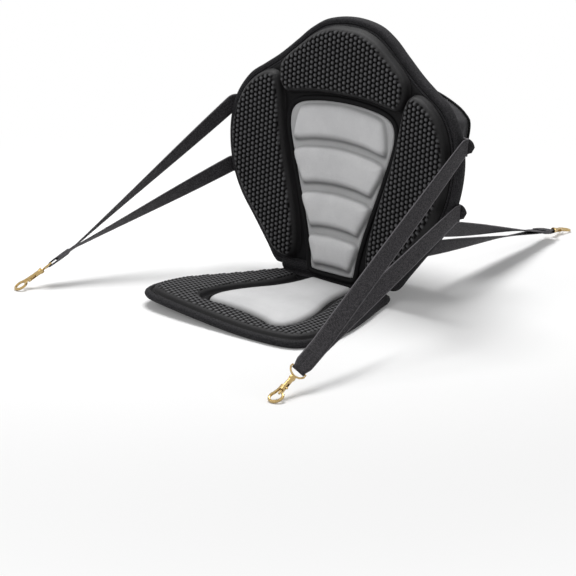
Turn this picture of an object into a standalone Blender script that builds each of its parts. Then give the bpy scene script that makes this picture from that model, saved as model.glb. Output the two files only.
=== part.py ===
"""Kayak seat: a padded base and a padded backrest sewn together at a fabric hinge, held by eight legs of
webbing that end in four brass bolt snaps, with a zipped pack on the back of the backrest.

Frame: +Z up, origin at the middle of the base's underside. The sitter faces -Y, and +X is the sitter's left.
All sizes are in metres.
"""
import math

import bmesh
import bpy
from mathutils import Matrix, Vector

for old in list(bpy.data.objects):
    bpy.data.objects.remove(old, do_unlink=True)

# Gap kept between pieces that touch
GAP = 0.0003

# Base
BASE_DEPTH = 0.355
BASE_HALF_WIDTH = 0.216
UNDERSIDE_THICKNESS = 0.0030
BASE_RIM_HEIGHT = 0.0160
BASE_PAD_RISE = 0.0150
BASE_EDGE_COUNT = 48

# Backrest
BACK_HEIGHT = 0.500
BACK_HALF_WIDTH = 0.292
BACK_RECLINE = math.radians(5.5)
BACK_WRAP_RADIUS = 3.6
WRAP_STRIP_WIDTH = 0.060
BACK_FOAM_THICKNESS = 0.0105
STIFFENER_THICKNESS = 0.0022
STIFFENER_INSET = 0.022
REAR_COVER_THICKNESS = 0.0030
BACK_VALLEY_RISE = 0.0040
BACK_PAD_RISE = 0.0150
BACK_EDGE_COUNT = 60

# Grey ribbed panel and its bead
PANEL_FLOOR = 0.0005
PANEL_THICKNESS = 0.0075
RIB_RISE = 0.0095
RIB_MARGIN = 0.0050
RIB_CORNER = 0.0090
BEAD_RADIUS = 0.0030

# Grey insert of the base
INSERT_THICKNESS = 0.0060
INSERT_CROWN = 0.0100
INSERT_FLOOR_DEPTH = 0.0060

# Edge binding
BINDING_TAPE = 0.0016
BINDING_BULGE = 0.0030
BINDING_LIP = 0.0080
VALLEY_SLOPE = 0.0015

# Hinge strip
STRIP_HALF_WIDTH = 0.120
STRIP_REACH = 0.0130
STRIP_RISE = 0.0130
STRIP_THICKNESS = 0.0020

# Webbing
WEBBING_WIDTH = 0.032
WEBBING_THICKNESS = 0.0016
EYE_WEBBING_WIDTH = 0.0250
EYE_LOOP_LENGTH = 0.045
LEG_STATIONS = 7
TAIL_LENGTH = 0.0305
TAIL_OVERHANG = 0.010

# Where the legs leave the edge of the backrest, up from the hinge, and where the end of each hook rests
UPPER_ANCHOR_HEIGHT = 0.298
LOWER_ANCHOR_HEIGHT = 0.175
REAR_UPPER_HEIGHT = 0.130
REAR_LOWER_HEIGHT = 0.075
ANCHOR_REACH = 0.061
SEWN_LENGTH = 0.030
SEWN_SET_BACK = 0.014
EDGE_CLEARANCE = 0.0032
HOOK_ENDS = {
    "front_left": Vector((0.351, -0.382, 0.0)),
    "front_right": Vector((-0.443, -0.263, 0.0)),
    "rear_left": Vector((0.081, 0.814, 0.0)),
    "rear_right": Vector((-0.270, 0.690, 0.0)),
}

# How far the webbing's end, with the eye in it, is turned about each snap's axis
EYE_ROLLS = {
    "front_left": math.radians(-44.0),
    "front_right": math.radians(29.0),
    "rear_left": 0.0,
    "rear_right": 0.0,
}

# Three-bar slide of each front leg
SLIDE_BAR = 0.0030
SLIDE_SLOT = 0.0055
SLIDE_SIDE = 0.0030
SLIDE_SIDE_CLEARANCE = 0.0010
SLIDE_THICKNESS = 0.0025
SLIDE_SET_BACK = 0.036

# Bolt snap, along its own axis from the bar of the eye
EYE_WIRE_RADIUS = 0.0019
EYE_INNER_WIDTH = 0.0265
EYE_DEPTH = 0.0150
POST_RADIUS = 0.0022
POST_HEAD_RADIUS = 0.0038
POST_HEAD_LENGTH = 0.0026
SWIVEL_CLEARANCE = 0.0003
COLLAR_RADIUS = 0.0060
COLLAR_WALL = 0.0020
COLLAR_END_WALL = 0.0040
BARREL_RADIUS = 0.0048
BARREL_LENGTH = 0.0265
BOLT_RADIUS = 0.0021
BOLT_CLEARANCE = 0.0003
BOLT_LENGTH = 0.0250
BOLT_TRAVEL = 0.0080
BOLT_REACH = 0.0095
STUD_RADIUS = 0.0018
STUD_HEIGHT = 0.0082
STUD_SET_BACK = 0.0068
HOOK_WIRE_RADIUS = 0.0027
HOOK_LOOP_RADIUS = 0.0120
HOOK_MOUTH = 0.0050
HOOK_TIP_ANGLE = math.radians(27.0)

# Pack
PACK_HALF_WIDTH = 0.165
PACK_FOOT_HALF_WIDTH = 0.148
PACK_FOOT = 0.115
PACK_SHOULDER = 0.315
PACK_TOP = 0.372
PACK_DEPTH_TOP = 0.140
PACK_DEPTH_FOOT = 0.112
PACK_FLANGE = 0.012
PACK_FLANGE_THICKNESS = 0.0040
PIPING_RADIUS = 0.0022
PACK_EDGE_COUNT = 36
ZIP_WIDTH = 0.024
ZIP_THICKNESS = 0.0016
ZIP_SHARE = 0.30
ZIP_STEPS = 12
SLIDER_LENGTH = 0.012
SLIDER_WIDTH = 0.009
SLIDER_THICKNESS = 0.0030
PULL_LENGTH = 0.034
PULL_WIDTH = 0.010
PULL_THICKNESS = 0.0020

# Colours
BLACK = (0.012, 0.012, 0.013, 1.0)
BLACK_WEBBING = (0.030, 0.030, 0.033, 1.0)
CHARCOAL = (0.045, 0.046, 0.050, 1.0)
GREY = (0.42, 0.42, 0.43, 1.0)
PALE_GREY = (0.62, 0.62, 0.63, 1.0)
BRASS = (0.78, 0.52, 0.20, 1.0)
NATURAL = (0.55, 0.55, 0.52, 1.0)


def material(name, colour, roughness, metallic=0.0):
    """A plain surface with the part's colour, roughness and metallic value."""
    made = bpy.data.materials.get(name) or bpy.data.materials.new(name)
    made.use_nodes = True
    surface = made.node_tree.nodes["Principled BSDF"]
    surface.inputs["Base Color"].default_value = colour
    surface.inputs["Roughness"].default_value = roughness
    surface.inputs["Metallic"].default_value = metallic
    return made


FOAM_CLOTH = material("foam_cloth", BLACK, 0.75)
BINDING_CLOTH = material("binding_cloth", BLACK, 0.60)
UNDERSIDE_CLOTH = material("underside_cloth", BLACK, 0.80)
GREY_CLOTH = material("grey_cloth", GREY, 0.85)
PALE_CLOTH = material("pale_cloth", PALE_GREY, 0.85)
WEBBING = material("webbing", BLACK_WEBBING, 0.70)
PACK_CLOTH = material("pack_cloth", CHARCOAL, 0.55)
BUCKLE_PLASTIC = material("buckle_plastic", BLACK, 0.40)
BOARD_PLASTIC = material("board_plastic", NATURAL, 0.50)
BRASS_METAL = material("brass_metal", BRASS, 0.25, 1.0)


def finish(name, bm, surface, matrix=None):
    """Turn a bmesh into a named object, with its faces pointing out."""
    bmesh.ops.recalc_face_normals(bm, faces=bm.faces)
    if bm.calc_volume(signed=True) < 0.0:
        bmesh.ops.reverse_faces(bm, faces=bm.faces)
    bmesh.ops.triangulate(bm, faces=bm.faces)
    mesh = bpy.data.meshes.new(name)
    bm.to_mesh(mesh)
    bm.free()
    mesh.materials.append(surface)
    mesh.shade_smooth()
    mesh.set_sharp_from_angle(angle=math.radians(35.0))
    made = bpy.data.objects.new(name, mesh)
    bpy.context.collection.objects.link(made)
    if matrix is not None:
        made.matrix_world = matrix
    return made


# Outlines

def smooth_loop(corners, count):
    """A closed smooth curve through the corner points, resampled to equal steps."""
    fine = []
    size = len(corners)
    for index in range(size):
        before, start, end, after = (corners[(index + step) % size] for step in (-1, 0, 1, 2))
        for step in range(12):
            t = step / 12
            x, y = (
                0.5 * (2 * b + (c - a) * t + (2 * a - 5 * b + 4 * c - d) * t * t
                       + (3 * b - a - 3 * c + d) * t ** 3)
                for a, b, c, d in zip(before, start, end, after)
            )
            fine.append(Vector((x, y)))
    lengths = [0.0]
    for index, point in enumerate(fine):
        lengths.append(lengths[-1] + (fine[(index + 1) % len(fine)] - point).length)
    loop = []
    piece = 0
    for index in range(count):
        wanted = lengths[-1] * index / count
        while lengths[piece + 1] < wanted:
            piece += 1
        share = (wanted - lengths[piece]) / (lengths[piece + 1] - lengths[piece])
        loop.append(fine[piece].lerp(fine[(piece + 1) % len(fine)], share))
    return loop


def mirrored(half):
    """A whole outline from its right half, which runs from the far end down to the near end."""
    left = [(-x, y) for x, y in reversed(half) if abs(x) > 1e-6]
    return list(half) + left


def inset(loop, distance):
    """The same closed loop moved inwards, point by point."""
    area = sum(a.x * b.y - b.x * a.y for a, b in zip(loop, loop[1:] + loop[:1]))
    turn = 1.0 if area > 0 else -1.0
    moved = []
    for index, point in enumerate(loop):
        along = (loop[(index + 1) % len(loop)] - loop[index - 1]).normalized()
        moved.append(point + Vector((-along.y, along.x)) * distance * turn)
    return moved


def scaled(half, width, depth):
    """An outline given as shares of a half width and a depth, at its real size."""
    return [(x * width, y * depth) for x, y in half]


# Solids from loops

def add_loop(bm, loop, height):
    return [bm.verts.new((point.x, point.y, height)) for point in loop]


def bridge(bm, lower, upper):
    size = len(lower)
    for index in range(size):
        after = (index + 1) % size
        bm.faces.new((lower[index], lower[after], upper[after], upper[index]))


def stack(bm, levels, close_first=True, close_last=True):
    """Walls through the loops of (loop, height) pairs. Returns the last ring of vertices."""
    rings = [add_loop(bm, loop, height) for loop, height in levels]
    for lower, upper in zip(rings, rings[1:]):
        bridge(bm, lower, upper)
    if close_first:
        bm.faces.new(rings[0])
    if close_last:
        bm.faces.new(rings[-1])
    return rings[0], rings[-1]


def ring_edges(bm, ring):
    size = len(ring)
    return [bm.edges.get((ring[index], ring[(index + 1) % size])) for index in range(size)]


def slab(outline_levels, bosses):
    """One body: walls up to a flat top, in which each boss rises or sinks from its own outline."""
    bm = bmesh.new()
    _, top = stack(bm, outline_levels, close_last=False)
    edges = ring_edges(bm, top)
    for levels in bosses:
        foot, _ = stack(bm, levels, close_first=False)
        edges += ring_edges(bm, foot)
    bmesh.ops.triangle_fill(bm, use_beauty=True, edges=edges, normal=(0.0, 0.0, 1.0))
    return bm


def pillow(loop, foot, rise, border):
    """Levels of a soft edge that rises from the foot and turns into a flat crown."""
    return [
        (loop, foot),
        (inset(loop, border * 0.10), foot + rise * 0.55),
        (inset(loop, border * 0.45), foot + rise * 0.88),
        (inset(loop, border), foot + rise),
    ]


def loop_tube(bm, loop, height, radius, sides):
    """A closed tube along a flat loop."""
    rings = []
    for side in range(sides):
        angle = 2 * math.pi * side / sides
        rings.append(add_loop(bm, inset(loop, radius * math.cos(angle)), height + radius * math.sin(angle)))
    for index in range(sides):
        bridge(bm, rings[index], rings[(index + 1) % sides])


def channel(loop, low, high):
    """Tape folded round an edge: a closed ring whose section is a C open inwards."""
    middle = (low + high) / 2
    tape = BINDING_TAPE
    section = [
        (0.0, middle),
        (BINDING_BULGE * 0.35, high),
        (BINDING_BULGE, high + GAP + tape),
        (BINDING_LIP, high + GAP + tape),
        (BINDING_LIP, high + GAP),
        (BINDING_BULGE, high + GAP),
        (BINDING_BULGE, low - GAP),
        (BINDING_LIP, low - GAP),
        (BINDING_LIP, low - GAP - tape),
        (BINDING_BULGE, low - GAP - tape),
        (BINDING_BULGE * 0.35, low),
    ]
    bm = bmesh.new()
    rings = [add_loop(bm, inset(loop, depth), height) for depth, height in section]
    for index in range(len(rings)):
        bridge(bm, rings[index], rings[(index + 1) % len(rings)])
    return bm


# Places on the backrest

UNDER_LIP = GAP + BINDING_TAPE
BASE_BOTTOM = UNDER_LIP
BASE_FOAM_FLOOR = BASE_BOTTOM + UNDERSIDE_THICKNESS + GAP
BASE_TOP = BASE_FOAM_FLOOR + BASE_RIM_HEIGHT
BACK_EDGE_Y = BASE_DEPTH / 2
HINGE_Y = BACK_EDGE_Y - 0.012
FOAM_BACK = -BACK_FOAM_THICKNESS
STIFFENER_FRONT = FOAM_BACK - GAP
STIFFENER_BACK = STIFFENER_FRONT - STIFFENER_THICKNESS
COVER_FRONT = STIFFENER_BACK - GAP
COVER_BACK = COVER_FRONT - REAR_COVER_THICKNESS
HINGE_Z = BASE_TOP + UNDER_LIP + (UNDER_LIP - COVER_BACK) * math.sin(BACK_RECLINE) + GAP


def wrap(u):
    """How far the backrest comes forward at u: a wide arc, followed in straight strips."""
    strip = math.floor(abs(u) / WRAP_STRIP_WIDTH + 1e-6)
    near = strip * WRAP_STRIP_WIDTH
    far = near + WRAP_STRIP_WIDTH
    rise_near = near * near / (2 * BACK_WRAP_RADIUS)
    rise_far = far * far / (2 * BACK_WRAP_RADIUS)
    return rise_near + (rise_far - rise_near) * (abs(u) - near) / WRAP_STRIP_WIDTH


BACK_ACROSS = Vector((1.0, 0.0, 0.0))
BACK_UP = Vector((0.0, math.sin(BACK_RECLINE), math.cos(BACK_RECLINE)))
BACK_OUT = Vector((0.0, -math.cos(BACK_RECLINE), math.sin(BACK_RECLINE)))
HINGE = Vector((0.0, HINGE_Y, HINGE_Z))


def on_back(u, v, out, wrapped=True):
    """A point of the backrest: u across, v up from the hinge, out towards the sitter."""
    depth = out + (wrap(u) if wrapped else 0.0)
    return HINGE + BACK_ACROSS * u + BACK_UP * v + BACK_OUT * depth


def lean(bm):
    """Cut a flat-made piece into strips, then lay it on the backrest's arc."""
    reach = max(abs(vertex.co.x) for vertex in bm.verts)
    count = int(reach / WRAP_STRIP_WIDTH) + 1
    for index in range(-count, count + 1):
        bmesh.ops.bisect_plane(
            bm, geom=bm.verts[:] + bm.edges[:] + bm.faces[:], dist=1e-6,
            plane_co=(index * WRAP_STRIP_WIDTH, 0.0, 0.0), plane_no=(1.0, 0.0, 0.0))
    bmesh.ops.triangulate(bm, faces=[face for face in bm.faces if len(face.verts) > 4])
    for vertex in bm.verts:
        vertex.co = on_back(vertex.co.x, vertex.co.y, vertex.co.z)


# Backrest outline, as shares of its half width and height, from the top down the sitter's left side

BACK_HALF = [
    (0.0, 1.0), (0.20, 0.984), (0.34, 0.943), (0.46, 0.887), (0.60, 0.823), (0.735, 0.772), (0.84, 0.732),
    (0.925, 0.672), (0.972, 0.612), (0.998, 0.530), (0.993, 0.448), (0.966, 0.370), (0.918, 0.300),
    (0.850, 0.235), (0.735, 0.155), (0.615, 0.070), (0.535, 0.012), (0.47, 0.0), (0.25, 0.0), (0.0, 0.0),
]
TOP_PAD_HALF = [
    (0.0, 0.962), (0.14, 0.955), (0.27, 0.925), (0.39, 0.875), (0.50, 0.822), (0.545, 0.780), (0.535, 0.720),
    (0.48, 0.684), (0.40, 0.688), (0.22, 0.702), (0.0, 0.706),
]
SIDE_PAD = [
    (0.65, 0.745), (0.74, 0.722), (0.83, 0.675), (0.895, 0.602), (0.925, 0.520), (0.918, 0.440),
    (0.885, 0.358), (0.820, 0.282), (0.720, 0.205), (0.610, 0.132), (0.520, 0.070), (0.440, 0.046),
    (0.365, 0.052), (0.325, 0.105), (0.340, 0.200), (0.390, 0.320), (0.455, 0.450), (0.495, 0.560),
    (0.535, 0.655), (0.585, 0.725),
]
PANEL_HALF = [
    (0.0, 0.672), (0.20, 0.668), (0.36, 0.652), (0.425, 0.625), (0.437, 0.575), (0.418, 0.512), (0.336, 0.350),
    (0.247, 0.189), (0.200, 0.080), (0.185, 0.055), (0.15, 0.048), (0.0, 0.048),
]
# Lower and upper edge of each rib where it meets the panel's sides, and how far each edge arches up
RIB_EDGES = [(0.074, 0.149), (0.189, 0.308), (0.350, 0.474), (0.512, 0.630)]
RIB_ARCHES = [(0.004, 0.012), (0.012, 0.020), (0.020, 0.030), (0.030, 0.024)]

BACK_OUTLINE = smooth_loop(mirrored(scaled(BACK_HALF, BACK_HALF_WIDTH, BACK_HEIGHT)), BACK_EDGE_COUNT)
TOP_PAD = smooth_loop(mirrored(scaled(TOP_PAD_HALF, BACK_HALF_WIDTH, BACK_HEIGHT)), 32)
LEFT_PAD = smooth_loop(scaled(SIDE_PAD, BACK_HALF_WIDTH, BACK_HEIGHT), 32)
RIGHT_PAD = [Vector((-point.x, point.y)) for point in reversed(LEFT_PAD)]
PANEL = smooth_loop(mirrored(scaled(PANEL_HALF, BACK_HALF_WIDTH, BACK_HEIGHT)), 32)


def make_backrest():
    body = inset(BACK_OUTLINE, BINDING_BULGE + GAP)
    valley = BACK_VALLEY_RISE
    window = inset(PANEL, -(2 * BEAD_RADIUS + 2 * GAP))
    levels = [
        (body, FOAM_BACK),
        (body, 0.0),
        (inset(BACK_OUTLINE, BINDING_LIP + GAP), 0.0),
        (inset(BACK_OUTLINE, BINDING_LIP + GAP + VALLEY_SLOPE), valley),
    ]
    pads = [pillow(pad, valley, BACK_PAD_RISE, 0.014) for pad in (TOP_PAD, LEFT_PAD, RIGHT_PAD)]
    recess = [(window, valley), (window, PANEL_FLOOR - GAP)]
    bm = slab(levels, pads + [recess])
    lean(bm)
    finish("back_foam", bm, FOAM_CLOTH)

    bm = bmesh.new()
    board = inset(BACK_OUTLINE, STIFFENER_INSET)
    stack(bm, [(board, STIFFENER_BACK), (board, STIFFENER_FRONT)])
    lean(bm)
    finish("back_stiffener", bm, BOARD_PLASTIC)

    bm = bmesh.new()
    stack(bm, [(body, COVER_BACK), (body, COVER_FRONT)])
    lean(bm)
    finish("back_rear_cover", bm, FOAM_CLOTH)

    bm = channel(BACK_OUTLINE, COVER_BACK, 0.0)
    lean(bm)
    finish("back_binding", bm, BINDING_CLOTH)


def panel_half_width(v):
    """Half the panel's width at a height, both as shares of the backrest's."""
    sides = [point for point in PANEL_HALF if point[0] > 0.18]
    for (x_high, y_high), (x_low, y_low) in zip(sides, sides[1:]):
        if y_low <= v <= y_high:
            return x_low + (x_high - x_low) * (v - y_low) / (y_high - y_low)
    return sides[-1][0]


def rib_outline(index):
    """One raised rib of the grey panel: wide above, narrow below, its long edges arched like a frown."""
    foot, top = RIB_EDGES[index]
    foot_arch, top_arch = RIB_ARCHES[index]
    margin = RIB_MARGIN / BACK_HALF_WIDTH
    corner = RIB_CORNER / BACK_HEIGHT
    high = panel_half_width(top) - margin
    low = panel_half_width(foot) - margin
    half = [
        (0.0, top + top_arch), (high * 0.5, top + top_arch * 0.75), (high * 0.88, top + top_arch * 0.22),
        (high, top - corner), (low, foot + corner), (low * 0.88, foot + foot_arch * 0.22),
        (low * 0.5, foot + foot_arch * 0.75), (0.0, foot + foot_arch),
    ]
    return smooth_loop(mirrored(scaled(half, BACK_HALF_WIDTH, BACK_HEIGHT)), 20)


def make_panel():
    top = PANEL_FLOOR + PANEL_THICKNESS
    levels = [(PANEL, PANEL_FLOOR), (PANEL, top - 0.002), (inset(PANEL, 0.002), top)]
    ribs = [pillow(rib_outline(index), top, RIB_RISE, 0.009) for index in range(len(RIB_EDGES))]
    bm = slab(levels, ribs)
    lean(bm)
    finish("back_panel", bm, GREY_CLOTH)

    bm = bmesh.new()
    line = inset(PANEL, -(BEAD_RADIUS + GAP))
    loop_tube(bm, line, PANEL_FLOOR + BEAD_RADIUS, BEAD_RADIUS, 6)
    lean(bm)
    finish("back_panel_bead", bm, BINDING_CLOTH)


# Base outlines, as shares of its half width and depth, y from the front edge to the back edge

BASE_HALF = [
    (0.0, 1.0), (0.45, 1.0), (0.60, 0.992), (0.665, 0.950), (0.74, 0.82), (0.85, 0.64), (0.94, 0.46),
    (0.99, 0.30), (0.995, 0.20), (0.95, 0.10), (0.86, 0.045), (0.70, 0.018), (0.40, 0.004), (0.0, 0.0),
]
BASE_PAD_HALF = [
    (0.47, 0.900), (0.565, 0.900), (0.625, 0.860), (0.70, 0.74), (0.80, 0.57), (0.875, 0.42), (0.905, 0.28),
    (0.890, 0.17), (0.82, 0.105), (0.66, 0.070), (0.38, 0.055), (0.0, 0.050),
]
BASE_PAD_INNER_HALF = [
    (0.0, 0.255), (0.26, 0.235), (0.42, 0.225), (0.505, 0.275), (0.515, 0.37), (0.475, 0.52), (0.430, 0.66),
    (0.405, 0.78), (0.405, 0.86),
]
INSERT_HALF = [
    (0.0, 0.280), (0.24, 0.258), (0.40, 0.250), (0.470, 0.290), (0.482, 0.37), (0.445, 0.52), (0.400, 0.66),
    (0.365, 0.80), (0.330, 0.900), (0.28, 0.918), (0.0, 0.918),
]


def base_points(half):
    """Base shares as points, with y from the middle of the base."""
    return [(x * BASE_HALF_WIDTH, (y - 0.5) * BASE_DEPTH) for x, y in half]


BASE_OUTLINE = smooth_loop(mirrored(base_points(BASE_HALF)), BASE_EDGE_COUNT)
INSERT = smooth_loop(mirrored(base_points(INSERT_HALF)), 28)


def base_pad_loop():
    """The horseshoe of black padding round the insert, open towards the backrest."""
    outer = base_points(BASE_PAD_HALF)
    inner = base_points(BASE_PAD_INNER_HALF)
    right = outer + [(-x, y) for x, y in reversed(outer[:-1])]
    left = [(-x, y) for x, y in reversed(inner)] + inner[1:]
    return smooth_loop(right + left, 56)


def make_base():
    body = inset(BASE_OUTLINE, BINDING_BULGE + GAP)
    sole = inset(BASE_OUTLINE, BINDING_LIP + GAP)
    bm = bmesh.new()
    stack(bm, [(sole, 0.0), (sole, BASE_BOTTOM), (body, BASE_BOTTOM), (body, BASE_BOTTOM + UNDERSIDE_THICKNESS)])
    finish("base_underside", bm, UNDERSIDE_CLOTH)

    pad = base_pad_loop()
    recess = inset(INSERT, -0.002)
    levels = [(body, BASE_FOAM_FLOOR), (body, BASE_TOP)]
    bosses = [
        pillow(pad, BASE_TOP, BASE_PAD_RISE, 0.010),
        [(recess, BASE_TOP), (recess, BASE_TOP - INSERT_FLOOR_DEPTH)],
    ]
    bm = slab(levels, bosses)
    finish("base_foam", bm, FOAM_CLOTH)

    floor = BASE_TOP - INSERT_FLOOR_DEPTH + GAP
    crown = pillow(inset(INSERT, 0.004), floor + INSERT_THICKNESS, INSERT_CROWN, 0.016)
    bm = bmesh.new()
    stack(bm, [(INSERT, floor), (INSERT, floor + INSERT_THICKNESS)] + crown)
    finish("base_insert", bm, PALE_CLOTH)

    bm = channel(BASE_OUTLINE, BASE_BOTTOM, BASE_TOP)
    finish("base_binding", bm, BINDING_CLOTH)


def make_hinge_strip():
    """The band of cloth that joins the backrest's foot to the base."""
    back = UNDER_LIP + GAP
    upper_back = BACK_VALLEY_RISE + GAP
    floor = BASE_TOP + GAP
    lip = HINGE_Y - STRIP_REACH
    below = BINDING_LIP - STRIP_THICKNESS
    above = BINDING_LIP + VALLEY_SLOPE
    thick = STRIP_THICKNESS
    bm = bmesh.new()
    rings = []
    count = int(STRIP_HALF_WIDTH / WRAP_STRIP_WIDTH)
    for index in range(-count, count + 1):
        u = index * WRAP_STRIP_WIDTH
        ring = [
            Vector((u, lip, floor)),
            Vector((u, on_back(u, 0.0, back).y, floor)),
            on_back(u, below, back),
            on_back(u, above, upper_back),
            on_back(u, STRIP_RISE, upper_back),
            on_back(u, STRIP_RISE, upper_back + thick),
            on_back(u, above, upper_back + thick),
            on_back(u, below, back + thick),
            Vector((u, on_back(u, 0.0, back + thick).y, floor + thick)),
            Vector((u, lip, floor + thick)),
        ]
        rings.append([bm.verts.new(point) for point in ring])
    for before, after in zip(rings, rings[1:]):
        bridge(bm, before, after)
    bm.faces.new(rings[0])
    bm.faces.new(rings[-1])
    finish("hinge_strip", bm, BINDING_CLOTH)


# Webbing

def ribbon(name, stations, thickness=WEBBING_THICKNESS, surface=WEBBING):
    """Flat webbing through stations of (centre, direction of its width, width)."""
    bm = bmesh.new()
    rings = []
    for index, (centre, across, width) in enumerate(stations):
        before = stations[max(index - 1, 0)][0]
        after = stations[min(index + 1, len(stations) - 1)][0]
        along = (after - before).normalized()
        side = (across - along * across.dot(along)).normalized() * width / 2
        face = along.cross(side).normalized() * thickness / 2
        corners = (side + face, face - side, -side - face, side - face)
        rings.append([bm.verts.new(centre + corner) for corner in corners])
    for before, after in zip(rings, rings[1:]):
        bridge(bm, before, after)
    bm.faces.new(rings[0])
    bm.faces.new(rings[-1])
    return finish(name, bm, surface)


def edge_half_width(height):
    """Half the backrest's width where its outline passes a height on its lower, outer side."""
    widest = max(point.x for point in BACK_OUTLINE)
    found = 0.0
    for start, end in zip(BACK_OUTLINE, BACK_OUTLINE[1:]):
        if min(start.x, end.x) < 0.0 or (start.y - height) * (end.y - height) > 0.0:
            continue
        share = (height - start.y) / (end.y - start.y)
        found = max(found, start.x + (end.x - start.x) * share)
    return min(found, widest)


BACK_LEVEL = COVER_BACK - GAP - WEBBING_THICKNESS / 2
LIP_LEVEL = COVER_BACK - GAP - BINDING_TAPE - GAP - WEBBING_THICKNESS / 2
SLIDE_NEAR = BACK_LEVEL - WEBBING_THICKNESS / 2 - GAP
SLIDE_FAR = SLIDE_NEAR - SLIDE_THICKNESS
OVER_BAR = SLIDE_FAR - GAP - WEBBING_THICKNESS / 2
SLIDE_PITCH = (SLIDE_BAR + SLIDE_SLOT) / 2
SLIDE_HALF_LENGTH = SLIDE_PITCH + SLIDE_SLOT / 2 + SLIDE_BAR
WEAVE = 0.0020


def clear_half_width(height):
    """Half the backrest's width at its widest under a leg that leaves at a height."""
    half = WEBBING_WIDTH / 2
    return max(edge_half_width(height + step) for step in (-half, 0.0, half))


def wrap_exit(side, height):
    """Where a front leg comes clear of the backrest's edge, on its way forward."""
    return on_back(side * (clear_half_width(height) + EDGE_CLEARANCE), height, COVER_BACK / 3)


def front_leg_start(side, height):
    """Stations from the sewn start on the rear cover, through the slide and round the edge."""
    edge = clear_half_width(height)
    centre = edge - SLIDE_SET_BACK
    outer_end = edge - SLIDE_SET_BACK + SLIDE_HALF_LENGTH + GAP
    route = [
        (edge - ANCHOR_REACH, BACK_LEVEL),
        (centre - SLIDE_PITCH - WEAVE, BACK_LEVEL),
        (centre - SLIDE_PITCH + WEAVE, OVER_BAR),
        (centre + SLIDE_PITCH - WEAVE, OVER_BAR),
        (centre + SLIDE_PITCH + WEAVE, BACK_LEVEL),
        (outer_end, BACK_LEVEL),
        (outer_end + WEAVE, LIP_LEVEL),
        (edge - BINDING_BULGE, LIP_LEVEL),
        (edge + EDGE_CLEARANCE - GAP, COVER_BACK),
    ]
    return [(on_back(side * u, height, out), BACK_UP, WEBBING_WIDTH) for u, out in route]


def rear_leg_start(side, height):
    """Stations of a rear leg's sewn start, flat on the rear cover, and its turn away from it."""
    outer = edge_half_width(height - WEBBING_WIDTH / 2) - SEWN_SET_BACK
    inner = outer - SEWN_LENGTH
    route = [(outer, BACK_LEVEL), (inner, BACK_LEVEL), (inner - 0.0015, BACK_LEVEL - 0.0030)]
    return [(on_back(side * u, height, out), BACK_UP, WEBBING_WIDTH) for u, out in route]


def hook_frame(corner):
    """The bolt snap's own frame: X towards its end, Z up, with its end resting on the ground."""
    side = 1.0 if corner.endswith("left") else -1.0
    if corner.startswith("front"):
        starts = [wrap_exit(side, height) for height in (UPPER_ANCHOR_HEIGHT, LOWER_ANCHOR_HEIGHT)]
    else:
        starts = [rear_leg_start(side, height)[-1][0] for height in (REAR_UPPER_HEIGHT, REAR_LOWER_HEIGHT)]
    end = HOOK_ENDS[corner] + Vector((0.0, 0.0, HOOK_WIRE_RADIUS))
    back = ((starts[0] + starts[1]) / 2 - end).normalized()
    across = Vector((0.0, 0.0, 1.0)).cross(-back).normalized()
    up = (-back).cross(across).normalized()
    eye = end + back * HOOK_LENGTH
    turn = Matrix((-back, across, up)).transposed().to_4x4()
    return Matrix.Translation(eye) @ turn, starts, side


# Stations along the bolt snap's axis
COLLAR_START = EYE_DEPTH + EYE_WIRE_RADIUS + SWIVEL_CLEARANCE
CAVITY_START = COLLAR_START + COLLAR_WALL
HEAD_START = CAVITY_START + SWIVEL_CLEARANCE
HEAD_END = HEAD_START + POST_HEAD_LENGTH
CAVITY_END = HEAD_END + SWIVEL_CLEARANCE
BORE_FLOOR = CAVITY_END + COLLAR_END_WALL
BARREL_END = BORE_FLOOR + BARREL_LENGTH
LOOP_CENTRE = BARREL_END + HOOK_MOUTH + HOOK_LOOP_RADIUS
HOOK_LENGTH = LOOP_CENTRE + HOOK_LOOP_RADIUS
BOLT_END = BARREL_END + BOLT_REACH
STUD_STATION = BARREL_END - STUD_SET_BACK
SPINE_OFFSET = BARREL_RADIUS + HOOK_WIRE_RADIUS / 2


def turned(bm, profile, sides):
    """A turned solid about X from (station, radius) pairs that start and end on the axis."""
    rings = []
    for station, radius in profile:
        if radius == 0.0:
            rings.append([bm.verts.new((station, 0.0, 0.0))])
            continue
        ring = []
        for side in range(sides):
            angle = 2 * math.pi * (side + 0.5) / sides
            ring.append(bm.verts.new((station, radius * math.cos(angle), radius * math.sin(angle))))
        rings.append(ring)
    for before, after in zip(rings, rings[1:]):
        for side in range(sides):
            following = (side + 1) % sides
            if len(before) == 1:
                bm.faces.new((before[0], after[side], after[following]))
            elif len(after) == 1:
                bm.faces.new((before[side], after[0], before[following]))
            else:
                bm.faces.new((before[side], after[side], after[following], before[following]))


def rod(bm, path, radius, sides):
    """A round bar along a path that lies in the XY plane."""
    rings = []
    for index, point in enumerate(path):
        along = (path[min(index + 1, len(path) - 1)] - path[max(index - 1, 0)]).normalized()
        out = Vector((-along.y, along.x, 0.0))
        ring = []
        for side in range(sides):
            angle = 2 * math.pi * side / sides
            ring.append(bm.verts.new(point + out * radius * math.cos(angle)
                                     + Vector((0.0, 0.0, radius * math.sin(angle)))))
        rings.append(ring)
    for before, after in zip(rings, rings[1:]):
        bridge(bm, before, after)
    bm.faces.new(rings[0])
    bm.faces.new(rings[-1])


def box(bm, low, high):
    """A box between two corners."""
    size = Vector(high) - Vector(low)
    middle = (Vector(high) + Vector(low)) / 2
    bmesh.ops.create_cube(bm, size=1.0, matrix=Matrix.Translation(middle) @ Matrix.Diagonal(size).to_4x4())


def mesh_of(build, name):
    """The mesh of one closed shape that a function builds."""
    bm = bmesh.new()
    build(bm)
    bmesh.ops.recalc_face_normals(bm, faces=bm.faces)
    mesh = bpy.data.meshes.new(name)
    bm.to_mesh(mesh)
    bm.free()
    return mesh


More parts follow.
